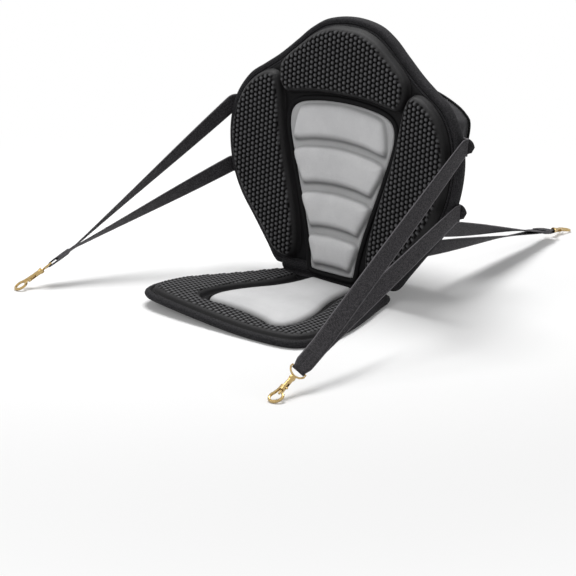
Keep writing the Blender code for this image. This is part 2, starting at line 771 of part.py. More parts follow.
def combined(name, base, steps):
    """A bmesh of the base shape after each (operation, shape) step."""
    made = bpy.data.objects.new(name, mesh_of(base, name))
    bpy.context.collection.objects.link(made)
    helpers = []
    for operation, shape in steps:
        helper = bpy.data.objects.new(name + "_helper", mesh_of(shape, name + "_helper"))
        bpy.context.collection.objects.link(helper)
        helpers.append(helper)
        cut = made.modifiers.new(operation, "BOOLEAN")
        cut.operation = operation
        cut.object = helper
    shaped = made.evaluated_get(bpy.context.evaluated_depsgraph_get())
    bm = bmesh.new()
    bm.from_mesh(shaped.to_mesh())
    for spare in helpers + [made]:
        bpy.data.objects.remove(spare, do_unlink=True)
    return bm


def eye_loop():
    half = EYE_INNER_WIDTH / 2 + EYE_WIRE_RADIUS
    arc = []
    for step in range(11):
        angle = math.pi * step / 10
        arc.append(Vector((EYE_DEPTH * math.sin(angle), half * math.cos(angle))))
    return arc + [Vector((0.0, 0.0))]


def eye_shape():
    def post(bm):
        profile = [
            (EYE_DEPTH, 0.0), (EYE_DEPTH, POST_RADIUS * 0.8), (EYE_DEPTH + EYE_WIRE_RADIUS, POST_RADIUS),
            (HEAD_START, POST_RADIUS), (HEAD_START, POST_HEAD_RADIUS), (HEAD_END, POST_HEAD_RADIUS),
            (HEAD_END, 0.0),
        ]
        turned(bm, profile, 12)

    def ring(bm):
        loop_tube(bm, eye_loop(), 0.0, EYE_WIRE_RADIUS, 6)

    return combined("eye", ring, [("UNION", post)])


def hook_shape():
    def barrel(bm):
        hole = POST_RADIUS + SWIVEL_CLEARANCE
        cavity = POST_HEAD_RADIUS + SWIVEL_CLEARANCE
        bore = BOLT_RADIUS + BOLT_CLEARANCE
        profile = [
            (CAVITY_END, 0.0), (CAVITY_END, cavity), (CAVITY_START, cavity), (CAVITY_START, hole),
            (COLLAR_START, hole), (COLLAR_START, COLLAR_RADIUS * 0.85), (CAVITY_START, COLLAR_RADIUS),
            (CAVITY_END, COLLAR_RADIUS), (BORE_FLOOR, BARREL_RADIUS), (BARREL_END, BARREL_RADIUS),
            (BARREL_END, bore), (BORE_FLOOR, bore), (BORE_FLOOR, 0.0),
        ]
        turned(bm, profile, 12)

    def wire(bm):
        path = [
            Vector((BARREL_END - 0.012, -SPINE_OFFSET, 0.0)),
            Vector((BARREL_END - 0.001, -SPINE_OFFSET, 0.0)),
        ]
        for step in range(15):
            angle = math.radians(-48.0) - (2 * math.pi - math.radians(48.0) - HOOK_TIP_ANGLE) * step / 14
            path.append(Vector((LOOP_CENTRE - HOOK_LOOP_RADIUS * math.cos(angle),
                                HOOK_LOOP_RADIUS * math.sin(angle), 0.0)))
        rod(bm, path, HOOK_WIRE_RADIUS, 8)

    def slot(bm):
        half = STUD_RADIUS + BOLT_CLEARANCE
        box(bm, (STUD_STATION - BOLT_TRAVEL - half, BOLT_RADIUS * 0.6, -half),
            (STUD_STATION + half, BARREL_RADIUS * 1.5, half))

    return combined("hook", barrel, [("UNION", wire), ("DIFFERENCE", slot)])


def bolt_shape():
    def pin(bm):
        start = BOLT_END - BOLT_LENGTH
        profile = [
            (start, 0.0), (start, BOLT_RADIUS), (BOLT_END - 0.0008, BOLT_RADIUS),
            (BOLT_END, BOLT_RADIUS * 0.6), (BOLT_END, 0.0),
        ]
        turned(bm, profile, 10)

    def stud(bm):
        turn = Matrix.Rotation(math.pi / 2, 4, "Z")
        profile = [
            (0.0, 0.0), (0.0, STUD_RADIUS), (STUD_HEIGHT - 0.0016, STUD_RADIUS),
            (STUD_HEIGHT - 0.0005, STUD_RADIUS * 0.8), (STUD_HEIGHT, 0.0),
        ]
        turned(bm, profile, 8)
        bmesh.ops.transform(bm, matrix=Matrix.Translation((STUD_STATION, 0.0, 0.0)) @ turn, verts=bm.verts)

    return combined("bolt", pin, [("UNION", stud)])


def place_copies(shape, names_and_frames):
    """The same mesh in every place, each copy an object of its own."""
    first = None
    for name, frame in names_and_frames:
        if first is None:
            first = finish(name, shape, BRASS_METAL, frame)
            continue
        copy = bpy.data.objects.new(name, first.data)
        bpy.context.collection.objects.link(copy)
        copy.matrix_world = frame


def eye_frame(corner):
    """The frame of a snap's eye, which swivels freely from its hook: the same axis, turned about it."""
    return hook_frame(corner)[0] @ Matrix.Rotation(EYE_ROLLS[corner], 4, "X")


def make_hooks():
    hooks = {corner: hook_frame(corner)[0] for corner in HOOK_ENDS}
    eyes = {corner: eye_frame(corner) for corner in HOOK_ENDS}
    for part, shape, frames in (("eye", eye_shape(), eyes), ("hook", hook_shape(), hooks),
                                ("bolt", bolt_shape(), hooks)):
        place_copies(shape, [(corner + "_" + part, frame) for corner, frame in frames.items()])


LEG_LAYER = WEBBING_THICKNESS / 2 + GAP
LOOP_LAYER = LEG_LAYER + WEBBING_THICKNESS + GAP
NARROWING = 0.018


def make_end_loop(corner, frame, along, across, up):
    """The short fold of webbing that holds the eye, with both legs sewn between its two layers."""
    turn_radius = max(LOOP_LAYER, EYE_WIRE_RADIUS + GAP + WEBBING_THICKNESS / 2)
    origin = frame.translation
    straight = [(EYE_LOOP_LENGTH, WEBBING_WIDTH), (NARROWING, WEBBING_WIDTH), (0.006, EYE_WEBBING_WIDTH)]
    stations = []
    for distance, width in straight:
        stations.append((origin - along * distance + up * turn_radius, across, width))
    for degrees in (60, 30, 0, -30, -60):
        angle = math.radians(degrees)
        centre = origin + (along * math.cos(angle) + up * math.sin(angle)) * turn_radius
        stations.append((centre, across, EYE_WEBBING_WIDTH))
    for distance, width in reversed(straight):
        stations.append((origin - along * distance - up * turn_radius, across, width))
    ribbon(corner + "_end_loop", stations)


def make_leg(name, start, end_points, across):
    """One leg: its sewn start, a free stretch that twists evenly, and its end between the loop's layers."""
    stations = list(start)
    origin, near, far = stations[-1][0], end_points[0], end_points[1]
    first = stations[-1][1]
    if first.dot(across) < 0.0:
        across = -across
    for step in range(1, LEG_STATIONS + 1):
        share = step / LEG_STATIONS
        side = first.lerp(across, share).normalized()
        stations.append((origin.lerp(near, share), side, WEBBING_WIDTH))
    stations.append((far, across, WEBBING_WIDTH))
    ribbon(name, stations)


def make_straps():
    for corner in HOOK_ENDS:
        frame = eye_frame(corner)
        side = 1.0 if corner.endswith("left") else -1.0
        along, across, up = (frame.to_3x3().col[index].copy() for index in range(3))
        make_end_loop(corner, frame, along, across, up)
        eye = frame.translation
        for level, sign in (("upper", 1.0), ("lower", -1.0)):
            offset = up * LEG_LAYER * sign
            ends = [eye - along * distance + offset for distance in (EYE_LOOP_LENGTH + NARROWING, NARROWING)]
            if corner.startswith("front"):
                height = UPPER_ANCHOR_HEIGHT if level == "upper" else LOWER_ANCHOR_HEIGHT
                start = front_leg_start(side, height)
                start.append((wrap_exit(side, height), BACK_UP, WEBBING_WIDTH))
            else:
                height = REAR_UPPER_HEIGHT if level == "upper" else REAR_LOWER_HEIGHT
                start = rear_leg_start(side, height)
            make_leg(corner + "_" + level + "_leg", start, ends, across)


def make_slides():
    """Three-bar slides on the front legs, and the loose tail of each leg."""
    for word, side in (("left", 1.0), ("right", -1.0)):
        for level, height in (("upper", UPPER_ANCHOR_HEIGHT), ("lower", LOWER_ANCHOR_HEIGHT)):
            edge = clear_half_width(height)
            centre = edge - SLIDE_SET_BACK
            half_slot = WEBBING_WIDTH / 2 + SLIDE_SIDE_CLEARANCE

            def frame(bm, middle=centre, up=height, slot=half_slot):
                box(bm, (middle - SLIDE_HALF_LENGTH, up - slot - SLIDE_SIDE, SLIDE_FAR),
                    (middle + SLIDE_HALF_LENGTH, up + slot + SLIDE_SIDE, SLIDE_NEAR))

            def slots(bm, middle=centre, up=height, slot=half_slot):
                for step in (-1, 1):
                    place = middle + step * SLIDE_PITCH
                    box(bm, (place - SLIDE_SLOT / 2, up - slot, SLIDE_FAR - 0.001),
                        (place + SLIDE_SLOT / 2, up + slot, SLIDE_NEAR + 0.001))

            bm = combined("slide", frame, [("DIFFERENCE", slots)])
            for vertex in bm.verts:
                vertex.co = on_back(side * vertex.co.x, vertex.co.y, vertex.co.z)
            finish("front_" + word + "_" + level + "_slide", bm, BUCKLE_PLASTIC)

            level_out = LIP_LEVEL - WEBBING_THICKNESS - GAP
            tail = []
            for u in (edge + TAIL_OVERHANG - TAIL_LENGTH, edge + TAIL_OVERHANG):
                tail.append((on_back(side * u, height, level_out), BACK_UP, WEBBING_WIDTH))
            ribbon("front_" + word + "_" + level + "_tail", tail)


# Pack

PACK_SEAT = COVER_BACK - GAP
PACK_START = PACK_SEAT - PACK_FLANGE_THICKNESS - GAP


def pack_outline(count):
    """The pack's outline on the backrest, flat below and arched above."""
    shoulder = (PACK_TOP - PACK_SHOULDER)
    half = [
        (0.0, PACK_TOP), (PACK_HALF_WIDTH * 0.35, PACK_TOP - shoulder * 0.10),
        (PACK_HALF_WIDTH * 0.68, PACK_TOP - shoulder * 0.38), (PACK_HALF_WIDTH * 0.92, PACK_TOP - shoulder * 0.75),
        (PACK_HALF_WIDTH, PACK_SHOULDER - 0.012), ((PACK_HALF_WIDTH + PACK_FOOT_HALF_WIDTH) / 2, 0.210),
        (PACK_FOOT_HALF_WIDTH, PACK_FOOT + 0.020), (PACK_FOOT_HALF_WIDTH * 0.90, PACK_FOOT + 0.002),
        (PACK_FOOT_HALF_WIDTH * 0.5, PACK_FOOT), (0.0, PACK_FOOT),
    ]
    return smooth_loop(mirrored(half), count)


def pack_point(u, v, share, offset=0.0):
    """A point of the pack: share 0 at the flange and 1 at its rear face, offset towards the flange."""
    height = (v - PACK_FOOT) / (PACK_TOP - PACK_FOOT)
    depth = PACK_DEPTH_FOOT + (PACK_DEPTH_TOP - PACK_DEPTH_FOOT) * height
    return on_back(u, v, PACK_START - depth * share + offset, wrapped=False)


def pack_rings(levels, close=True):
    bm = bmesh.new()
    rings = []
    for loop, share, offset in levels:
        rings.append([bm.verts.new(pack_point(point.x, point.y, share, offset)) for point in loop])
    for before, after in zip(rings, rings[1:]):
        bridge(bm, before, after)
    if close:
        bm.faces.new(rings[0])
        bm.faces.new(rings[-1])
    else:
        bridge(bm, rings[-1], rings[0])
    return bm


def pack_piping(name, loop, share, offset):
    levels = []
    for side in range(6):
        angle = 2 * math.pi * side / 6
        ring = inset(loop, PIPING_RADIUS * math.cos(angle))
        levels.append((ring, share, offset + PIPING_RADIUS * math.sin(angle)))
    finish(name, pack_rings(levels, close=False), BINDING_CLOTH)


PACK_BULGE = 0.004


def make_pack():
    outline = pack_outline(PACK_EDGE_COUNT)
    levels = [
        (outline, 0.0, 0.0), (inset(outline, -0.6 * PACK_BULGE), 0.12, 0.0),
        (inset(outline, -PACK_BULGE), 0.40, 0.0), (inset(outline, -PACK_BULGE), 0.60, 0.0),
        (inset(outline, -0.4 * PACK_BULGE), 0.90, 0.0), (inset(outline, 0.010), 1.0, 0.0),
    ]
    finish("pack_body", pack_rings(levels), PACK_CLOTH)

    flange = inset(outline, -PACK_FLANGE)
    back_of_flange = PACK_START + GAP
    bm = bmesh.new()
    stack(bm, [(flange, back_of_flange), (flange, PACK_SEAT)])
    for vertex in bm.verts:
        vertex.co = on_back(vertex.co.x, vertex.co.y, vertex.co.z, wrapped=False)
    finish("pack_flange", bm, PACK_CLOTH)

    line = inset(flange, -(PIPING_RADIUS + GAP))
    pack_piping("pack_flange_piping", line, 0.0, PIPING_RADIUS - PACK_FLANGE_THICKNESS / 2 + 0.0022)
    rear = inset(outline, -(PIPING_RADIUS + GAP + 0.4 * PACK_BULGE))
    pack_piping("pack_rear_piping", rear, 0.90, 0.0)
    make_zip(outline)


def make_zip(outline):
    """The zip over the top and down both sides of the pack, its slider and its cloth pull."""
    reach = ZIP_STEPS
    inner_loop = inset(outline, -(PACK_BULGE + GAP))
    outer_loop = inset(outline, -(PACK_BULGE + GAP + ZIP_THICKNESS))
    half = ZIP_WIDTH / 2
    bm = bmesh.new()
    rings = []
    for index in range(-reach, reach + 1):
        inner, outer = inner_loop[index], outer_loop[index]
        corners = ((inner, half), (outer, half), (outer, -half), (inner, -half))
        rings.append([bm.verts.new(pack_point(point.x, point.y, ZIP_SHARE, step)) for point, step in corners])
    for before, after in zip(rings, rings[1:]):
        bridge(bm, before, after)
    bm.faces.new(rings[0])
    bm.faces.new(rings[-1])
    finish("pack_zip", bm, BINDING_CLOTH)

    inner, outer = outer_loop[reach], outer_loop[reach - 1]
    foot = pack_point(inner.x, inner.y, ZIP_SHARE)
    head = pack_point(outer.x, outer.y, ZIP_SHARE)
    rise = (head - foot).normalized()
    away = rise.cross(BACK_OUT).normalized()
    if away.x < 0.0:
        away = -away
    across = rise.cross(away)
    centre = foot + away * (GAP + SLIDER_THICKNESS / 2) + rise * SLIDER_LENGTH / 2
    ends = [(centre + rise * step * SLIDER_LENGTH / 2, across, SLIDER_WIDTH) for step in (-1, 1)]
    ribbon("pack_zip_slider", ends, SLIDER_THICKNESS, BUCKLE_PLASTIC)
    hang = centre + away * (SLIDER_THICKNESS / 2 + GAP + PULL_THICKNESS / 2)
    ends = [(hang + rise * step, across, PULL_WIDTH) for step in (0.003, 0.003 - PULL_LENGTH)]
    ribbon("pack_zip_pull", ends, PULL_THICKNESS, WEBBING)


make_backrest()
make_panel()
make_base()
make_hinge_strip()
make_hooks()
make_straps()
make_slides()
make_pack()
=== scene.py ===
import math

import bmesh
import bpy
import numpy as np
from mathutils import Matrix, Vector


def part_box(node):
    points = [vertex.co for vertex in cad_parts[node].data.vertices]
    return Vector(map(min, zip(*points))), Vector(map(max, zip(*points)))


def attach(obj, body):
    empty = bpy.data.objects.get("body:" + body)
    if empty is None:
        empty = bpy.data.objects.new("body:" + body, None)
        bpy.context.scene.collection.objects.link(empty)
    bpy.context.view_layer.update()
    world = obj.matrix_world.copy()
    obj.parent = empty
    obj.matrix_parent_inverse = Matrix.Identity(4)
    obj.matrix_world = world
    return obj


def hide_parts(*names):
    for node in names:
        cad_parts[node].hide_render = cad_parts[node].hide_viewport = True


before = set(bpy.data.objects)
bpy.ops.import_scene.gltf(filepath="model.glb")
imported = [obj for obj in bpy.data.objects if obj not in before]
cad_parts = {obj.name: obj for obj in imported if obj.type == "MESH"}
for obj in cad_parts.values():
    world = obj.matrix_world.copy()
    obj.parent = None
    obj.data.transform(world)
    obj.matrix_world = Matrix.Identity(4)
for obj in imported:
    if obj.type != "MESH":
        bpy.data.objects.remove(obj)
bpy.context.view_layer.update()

# The studio: a long-lens camera at the photograph's angle and a white paper floor that keeps the seat's
# shadow. A large soft light hangs overhead, with weaker ones at the front left and behind. Lengths are metres.
scene = bpy.context.scene
scene.view_settings.view_transform = "Standard"

camera = bpy.data.objects.new("studio_camera", bpy.data.cameras.new("studio_camera"))
scene.collection.objects.link(camera)
camera.data.lens = 132.76
camera.data.sensor_width = 36.0
camera.data.clip_end = 50.0
camera.location = (2.6168, -2.7732, 1.2155)
aim = Vector((0.0, 0.0329, 0.0311)) - camera.location
camera.rotation_euler = aim.to_track_quat("-Z", "Y").to_euler()
scene.camera = camera


def soft_light(name, place, target, size, power):
    lamp = bpy.data.lights.new(name, "AREA")
    lamp.shape = "DISK"
    lamp.size = size
    lamp.energy = power
    held = bpy.data.objects.new(name, lamp)
    scene.collection.objects.link(held)
    held.location = place
    held.rotation_euler = (Vector(target) - Vector(place)).to_track_quat("-Z", "Y").to_euler()


soft_light("overhead_softbox", (-0.7, 0.55, 2.5), (0.0, 0.1, 0.1), 1.4, 66.0)
soft_light("front_softbox", (-0.9, -2.8, 1.9), (0.0, 0.1, 0.25), 1.8, 22.0)
soft_light("back_softbox", (2.0, 2.4, 1.7), (0.0, 0.2, 0.3), 1.0, 8.0)


def node_set(owner, start="Principled BSDF"):
    """The node tree of a material or the world, its first node, and a short way to add and join nodes."""
    owner.use_nodes = True
    tree = owner.node_tree
    shader = tree.nodes[start]

    def add(kind, inputs=None, **settings):
        node = tree.nodes.new("ShaderNode" + kind)
        for key, value in settings.items():
            setattr(node, key, value)
        for key, value in (inputs or {}).items():
            if isinstance(value, bpy.types.NodeSocket):
                tree.links.new(value, node.inputs[key])
            else:
                node.inputs[key].default_value = value
        return node

    return tree, shader, add


def seen_white(add):
    """1 for what the camera sees, itself or in a reflection, and 0 for light that falls on the seat."""
    path = add("LightPath")
    seen = add("Math", {0: path.outputs["Is Camera Ray"], 1: path.outputs["Is Glossy Ray"]}, operation="MAXIMUM")
    through = path.outputs["Is Transmission Ray"]
    return add("Math", {0: seen.outputs[0], 1: through}, operation="MAXIMUM").outputs[0]


scene.world = bpy.data.worlds.new("studio")
ROOM_LIGHT = 0.36
tree, sky, add = node_set(scene.world, "Background")
sky.inputs["Color"].default_value = (1.0, 1.0, 1.0, 1.0)
level = add("MapRange", {"Value": seen_white(add), "To Min": ROOM_LIGHT, "To Max": 1.0})
tree.links.new(level.outputs["Result"], sky.inputs["Strength"])


def meshed(name, bm):
    """A net of faces as a mesh."""
    mesh = bpy.data.meshes.new(name)
    bm.to_mesh(mesh)
    bm.free()
    return mesh


# The paper is plain near the seat and turns to pure white between these distances from it
PAPER_NEAR, PAPER_FAR, NEAR_WHITE = 0.5, 1.6, 0.10
FLOOR_RADIUS = 9.0
bm = bmesh.new()
bmesh.ops.create_circle(bm, cap_ends=True, radius=FLOOR_RADIUS, segments=96)
floor_mesh = meshed("studio_floor", bm)
floor = bpy.data.objects.new("studio_floor", floor_mesh)
scene.collection.objects.link(floor)
floor_paper = bpy.data.materials.new("white_paper")
tree, shader, add = node_set(floor_paper)
shader.inputs["Base Color"].default_value = (0.86, 0.86, 0.86, 1.0)
shader.inputs["Roughness"].default_value = 0.9
shader.inputs["Specular IOR Level"].default_value = 0.0
white = add("Emission", {"Color": (1.0, 1.0, 1.0, 1.0), "Strength": 1.0})
far = add("VectorMath", {0: add("TexCoord").outputs["Object"]}, operation="LENGTH")
glow = add("MapRange", {"Value": far.outputs["Value"], "From Min": PAPER_NEAR, "From Max": PAPER_FAR,
                        "To Min": NEAR_WHITE, "To Max": 1.0}, interpolation_type="SMOOTHSTEP")
share = add("Math", {0: seen_white(add), 1: glow.outputs[0]}, operation="MULTIPLY")
blend = add("MixShader", {0: share.outputs[0], 1: shader.outputs[0], 2: white.outputs[0]})
tree.links.new(blend.outputs[0], tree.nodes["Material Output"].inputs["Surface"])
floor_mesh.materials.append(floor_paper)

# Backrest pads: three blocks of moulded foam under one black stretch cloth, pressed with rows of round studs
# inside a smooth border. The cloth is drawn down between the pads. The backrest leans back a little and
# wraps forward slightly at its sides.
HINGE_Y, HINGE_Z = 0.1655, 0.02514
RECLINE = math.radians(5.5)
WRAP_RADIUS = 3.6
BACK_HEIGHT, BACK_HALF = 0.500, 0.292
VALLEY = 0.0075  # level of the cloth between the pads


def on_back(points):
    """(across, up, out) on the backrest as places in the scene."""
    u, v, out = points[:, 0], points[:, 1], points[:, 2] + points[:, 0] ** 2 / (2 * WRAP_RADIUS)
    y = HINGE_Y + v * math.sin(RECLINE) - out * math.cos(RECLINE)
    z = HINGE_Z + v * math.cos(RECLINE) + out * math.sin(RECLINE)
    return np.stack([u, y, z], axis=1)


def smooth_outline(corners, step):
    """A closed smooth curve through the corners, in equal steps of about that length."""
    corners = np.array(corners, float)
    count = len(corners)
    t = np.linspace(0.0, 1.0, 24, endpoint=False)[:, None]
    fine = []
    for index in range(count):
        a, b, c, d = (corners[(index + k) % count] for k in (-1, 0, 1, 2))
        fine.append(0.5 * (2 * b + (c - a) * t + (2 * a - 5 * b + 4 * c - d) * t ** 2
                           + (3 * b - a - 3 * c + d) * t ** 3))
    fine = np.concatenate(fine)
    closed = np.vstack([fine, fine[:1]])
    length = np.concatenate([[0.0], np.cumsum(np.linalg.norm(np.diff(closed, axis=0), axis=1))])
    wanted = np.linspace(0.0, length[-1], int(round(length[-1] / step)), endpoint=False)
    return np.stack([np.interp(wanted, length, closed[:, axis]) for axis in (0, 1)], axis=1)


def whole(half, width, height):
    """Both sides of an outline given as shares of a half width and a height, from the top down."""
    half = [(x * width, y * height) for x, y in half]
    return half + [(-x, y) for x, y in reversed(half) if abs(x) > 1e-6]


def inset(loop, distance):
    """The closed loop moved inwards."""
    ahead, behind = np.roll(loop, -1, axis=0), np.roll(loop, 1, axis=0)
    area = np.sum(loop[:, 0] * ahead[:, 1] - ahead[:, 0] * loop[:, 1])
    along = ahead - behind
    along /= np.linalg.norm(along, axis=1)[:, None]
    normal = np.stack([-along[:, 1], along[:, 0]], axis=1)
    return loop + normal * distance * np.sign(area)


def depth_inside(points, loop):
    """How far each point lies inside the closed loop, negative outside."""
    start, end = loop, np.roll(loop, -1, axis=0)
    found = np.full(len(points), 1e9)
    inside = np.zeros(len(points), bool)
    for a, b in zip(start, end):
        side = b - a
        share = np.clip(((points - a) @ side) / (side @ side), 0.0, 1.0)
        found = np.minimum(found, np.linalg.norm(points - a - share[:, None] * side, axis=1))
        crosses = (a[1] > points[:, 1]) != (b[1] > points[:, 1])
        if b[1] != a[1]:
            reach = a[0] + (points[:, 1] - a[1]) / (b[1] - a[1]) * (b[0] - a[0])
            inside ^= crosses & (points[:, 0] < reach)
    return np.where(inside, found, -found)


def first_ring(bm, points, level=0.0):
    """A closed ring of edges through flat points."""
    made = [bm.verts.new((x, y, level)) for x, y in points]
    return made, [bm.edges.new((made[i - 1], made[i])) for i in range(len(made))]


def next_ring(bm, ring, edges, points, level=0.0):
    """The ring extruded, its new copy moved to the next points."""
    place = {vertex.co.copy().freeze(): index for index, vertex in enumerate(ring)}
    made = bmesh.ops.extrude_edge_only(bm, edges=edges)["geom"]
    fresh = [None] * len(ring)
    for vertex in made:
        if isinstance(vertex, bmesh.types.BMVert):
            fresh[place[vertex.co.copy().freeze()]] = vertex
    for vertex, (x, y) in zip(fresh, points):
        vertex.co = (x, y, level)
    both = set(fresh)
    return fresh, [item for item in made if isinstance(item, bmesh.types.BMEdge)
                   and item.verts[0] in both and item.verts[1] in both]


def crowned(outline, rings, cell):
    """A flat net for a padded piece: rings of (depth, level) that follow its edge, then an even grid."""
    bm = bmesh.new()
    ring, edges = first_ring(bm, inset(outline, rings[0][0]), rings[0][1])
    bottom = list(ring)
    for depth, level in rings[1:]:
        ring, edges = next_ring(bm, ring, edges, inset(outline, depth), level)
    last_depth, last_level = rings[-1]
    low = np.floor(outline.min(axis=0) / (2 * cell)) * 2 * cell
    high = np.ceil(outline.max(axis=0) / (2 * cell)) * 2 * cell
    steps = np.round((high - low) / cell).astype(int)
    middle, size = (low + high) / 2, (high - low) / 2
    before = len(bm.verts)
    spread = Matrix.Translation((*middle, last_level)) @ Matrix.Diagonal((*size, 1.0, 1.0))
    bmesh.ops.create_grid(bm, x_segments=int(steps[0]), y_segments=int(steps[1]), size=1.0, matrix=spread)
    bm.verts.ensure_lookup_table()
    grid = [bm.verts[index] for index in range(before, len(bm.verts))]
    points = np.array([vertex.co[:2] for vertex in grid])
    keep = depth_inside(points, inset(outline, last_depth)) > 0.4 * np.min(cell)
    bmesh.ops.delete(bm, geom=[vertex for vertex, kept in zip(grid, keep) if not kept], context="VERTS")
    wall = set(edges) | {edge for vertex in bottom for edge in vertex.link_edges}
    rim = [edge for edge in bm.edges if len(edge.link_faces) == 1 and edge not in wall]
    bmesh.ops.triangle_fill(bm, use_beauty=True, edges=edges + rim, normal=(0.0, 0.0, 1.0))
    bmesh.ops.delete(bm, geom=[v for v in bm.verts if not v.link_faces], context="VERTS")
    return bm, bottom


def shown(name, mesh, material, slot, *nodes):
    """A finished mesh as a piece that stands for its solids."""
    mesh.shade_smooth()
    mesh.materials.append(material)
    made = bpy.data.objects.new(name, mesh)
    scene.collection.objects.link(made)
    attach(made, "seat")
    if nodes:
        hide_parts(*nodes)
    return made


def lay(bm, points, closed=True):
    """Move a net's points to their places and turn its faces outwards."""
    for vertex, point in zip(bm.verts, points):
        vertex.co = point
    bmesh.ops.recalc_face_normals(bm, faces=bm.faces)
    if closed and bm.calc_volume(signed=True) < 0.0:
        bmesh.ops.reverse_faces(bm, faces=bm.faces)


def settle(bm, name, height, place, material, slot, *nodes, close=None):
    """Lift a flat net to its height, lay it in place with its faces outwards and show it."""
    if close:
        bm.faces.new(close)
    points = np.array([vertex.co for vertex in bm.verts])
    points[:, 2] += height(points[:, :2])
    lay(bm, place(points), closed=bool(close))
    return shown(name, meshed(name, bm), material, slot, *nodes)


def band(name, outline, section, place, material, slot, *nodes):
    """Tape swept round an outline. Its section is a closed ring of (depth, height) pairs."""
    bm = bmesh.new()
    layer = bm.loops.layers.uv.new("tape")
    around = np.concatenate([[0.0], np.cumsum(np.linalg.norm(np.diff(outline, axis=0), axis=1))])
    total = around[-1] + np.linalg.norm(outline[0] - outline[-1])
    section = np.array(section)
    over = np.concatenate([[0.0], np.cumsum(np.linalg.norm(np.diff(section, axis=0), axis=1))])
    girth = over[-1] + np.linalg.norm(section[0] - section[-1])
    where = {}
    ring, edges = first_ring(bm, inset(outline, section[0][0]), section[0][1])
    first = edges
    for step, (depth, level) in enumerate(section):
        if step:
            ring, edges = next_ring(bm, ring, edges, inset(outline, depth), level)
        for index, vertex in enumerate(ring):
            where[vertex] = (around[index], over[step])
    bmesh.ops.bridge_loops(bm, edges=first + edges)
    for face in bm.faces:
        spots = [where[corner.vert] for corner in face.loops]
        last_u, last_v = max(u for u, v in spots), max(v for u, v in spots)
        for corner, (u, v) in zip(face.loops, spots):
            u += total if last_u - u > total / 2 else 0.0
            v += girth if last_v - v > girth / 2 else 0.0
            corner[layer].uv = (u, v)
    lay(bm, place(np.array([vertex.co for vertex in bm.verts])))
    return shown(name, meshed(name, bm), material, slot, *nodes)


def with_level(loop, level):
    """Flat points given one level."""
    return np.column_stack([loop, np.full(len(loop), level)])


def stitches(name, paths, place, material, slot, pitch=0.0034, thread=0.0009, closed=True):
    """Rows of raised stitches along paths of points, each path flat and laid in place."""
    bm = bmesh.new()
    for path in paths:
        path = np.array(path, float)
        if closed:
            path = np.vstack([path, path[:1]])
        length = np.concatenate([[0.0], np.cumsum(np.linalg.norm(np.diff(path, axis=0), axis=1))])
        count = max(1, int(round(length[-1] / pitch)))
        centre = (np.arange(count) + 0.5) * length[-1] / count

        def at(distance):
            return np.column_stack([np.interp(distance, length, path[:, axis]) for axis in range(3)])

        start, end = place(at(centre - 0.36 * pitch)), place(at(centre + 0.36 * pitch))
        up = place(at(centre) + (0.0, 0.0, 0.001)) - place(at(centre))
        for a, b, normal in zip(start, end, up):
            along = Vector(b - a) / 2
            normal = Vector(normal).normalized()
            side = normal.cross(along).normalized() * thread / 2
            turn = Matrix((along, side, normal * thread * 0.4)).transposed().to_4x4()
            bmesh.ops.create_icosphere(bm, subdivisions=1, radius=1.0,
                                       matrix=Matrix.Translation(Vector(a + b) / 2) @ turn)
    return shown(name, meshed(name, bm), material, slot)


STUD_PITCH = np.array([0.01045, 0.0096])
STUD_CELL = STUD_PITCH / 8
STUD_RADIUS = np.array([0.0054, 0.0050])
STUD_BORDER = (0.0058, 0.0090)  # the studs rise between these depths inside a pad's outline


def studs(points):
    """How far up its stud each point is, from 0 to 1: domed studs in columns, each column half a step off
    the next."""
    column = np.round(points[:, 0] / STUD_PITCH[0])
    shift = np.where(column.astype(int) % 2 == 0, 0.0, 0.5)
    row = np.round(points[:, 1] / STUD_PITCH[1] - shift) + shift
    offset = points - np.stack([column, row], axis=1) * STUD_PITCH
    reach = np.sum((offset / STUD_RADIUS) ** 2, axis=1)
    return np.clip(1.0 - reach, 0.0, 1.0) ** 0.7


def smooth_step(value, low, high):
    """0 below low, 1 above high and a soft curve between them."""
    share = np.clip((value - low) / (high - low), 0.0, 1.0)
    return share * share * (3 - 2 * share)


# How far a moulded pad stands up at each distance inside its outline
PAD_CURVE = np.array([
    (-0.0026, -0.0010), (-0.0012, 0.0002), (0.0, 0.0026), (0.0007, 0.0052), (0.0015, 0.0082),
    (0.0027, 0.0105), (0.0043, 0.0124), (0.0064, 0.0138), (0.0090, 0.0147), (0.0120, 0.0152),
    (0.0250, 0.0158), (0.2, 0.0162),
])
PAD_RINGS = [(depth, 0.0) for depth in PAD_CURVE[:10, 0]]


def flat_points(bm):
    return np.array([vertex.co[:2] for vertex in bm.verts])


def shade(made, wear_and_painted_light):
    """Gives each point its painted light and shade: -1 is painted light, 1 is the painted shade of a crease."""
    # The attribute holds painted light (below 0) and painted shade (above 0)
    painted_light_and_shade = made.data.attributes.new("painted_light_and_shade", "FLOAT", "POINT")
    painted_light_and_shade.data.foreach_set("value", np.array(wear_and_painted_light, np.float32))


# Painted light and shade of the pads: the painted shade value of the gaps between studs, the painted light
# colour of the studs' tops, and how dark full painted shade leaves a cloth
GAP_PAINTED_SHADE = 1.3
PAINTED_LIGHT_TINT = (0.10, 0.10, 0.105, 1.0)
PAINTED_SHADE_DARK = 0.12


def moulded_pad(name, outline, base, rise, stud, place, node):
    """A pad of studded foam. Its cloth gets painted light on the studs' tops and painted shade in the gaps
    between them.
    """
    def studded_area(points):
        return smooth_step(depth_inside(points, outline), *STUD_BORDER)

    def height(points):
        crown = np.interp(depth_inside(points, outline), *PAD_CURVE.T)
        return base + rise * crown + stud * (studs(points) * studded_area(points))

    bm, foot = crowned(outline, PAD_RINGS, STUD_CELL)
    flat = flat_points(bm)
    pad = settle(bm, name, height, place, pad_cloth, "foam_cloth", node, close=foot)
    # Painted light on the studs' tops and painted shade in the gaps between them
    shade(pad, studded_area(flat) * (GAP_PAINTED_SHADE - (GAP_PAINTED_SHADE + 1.0) * studs(flat)))


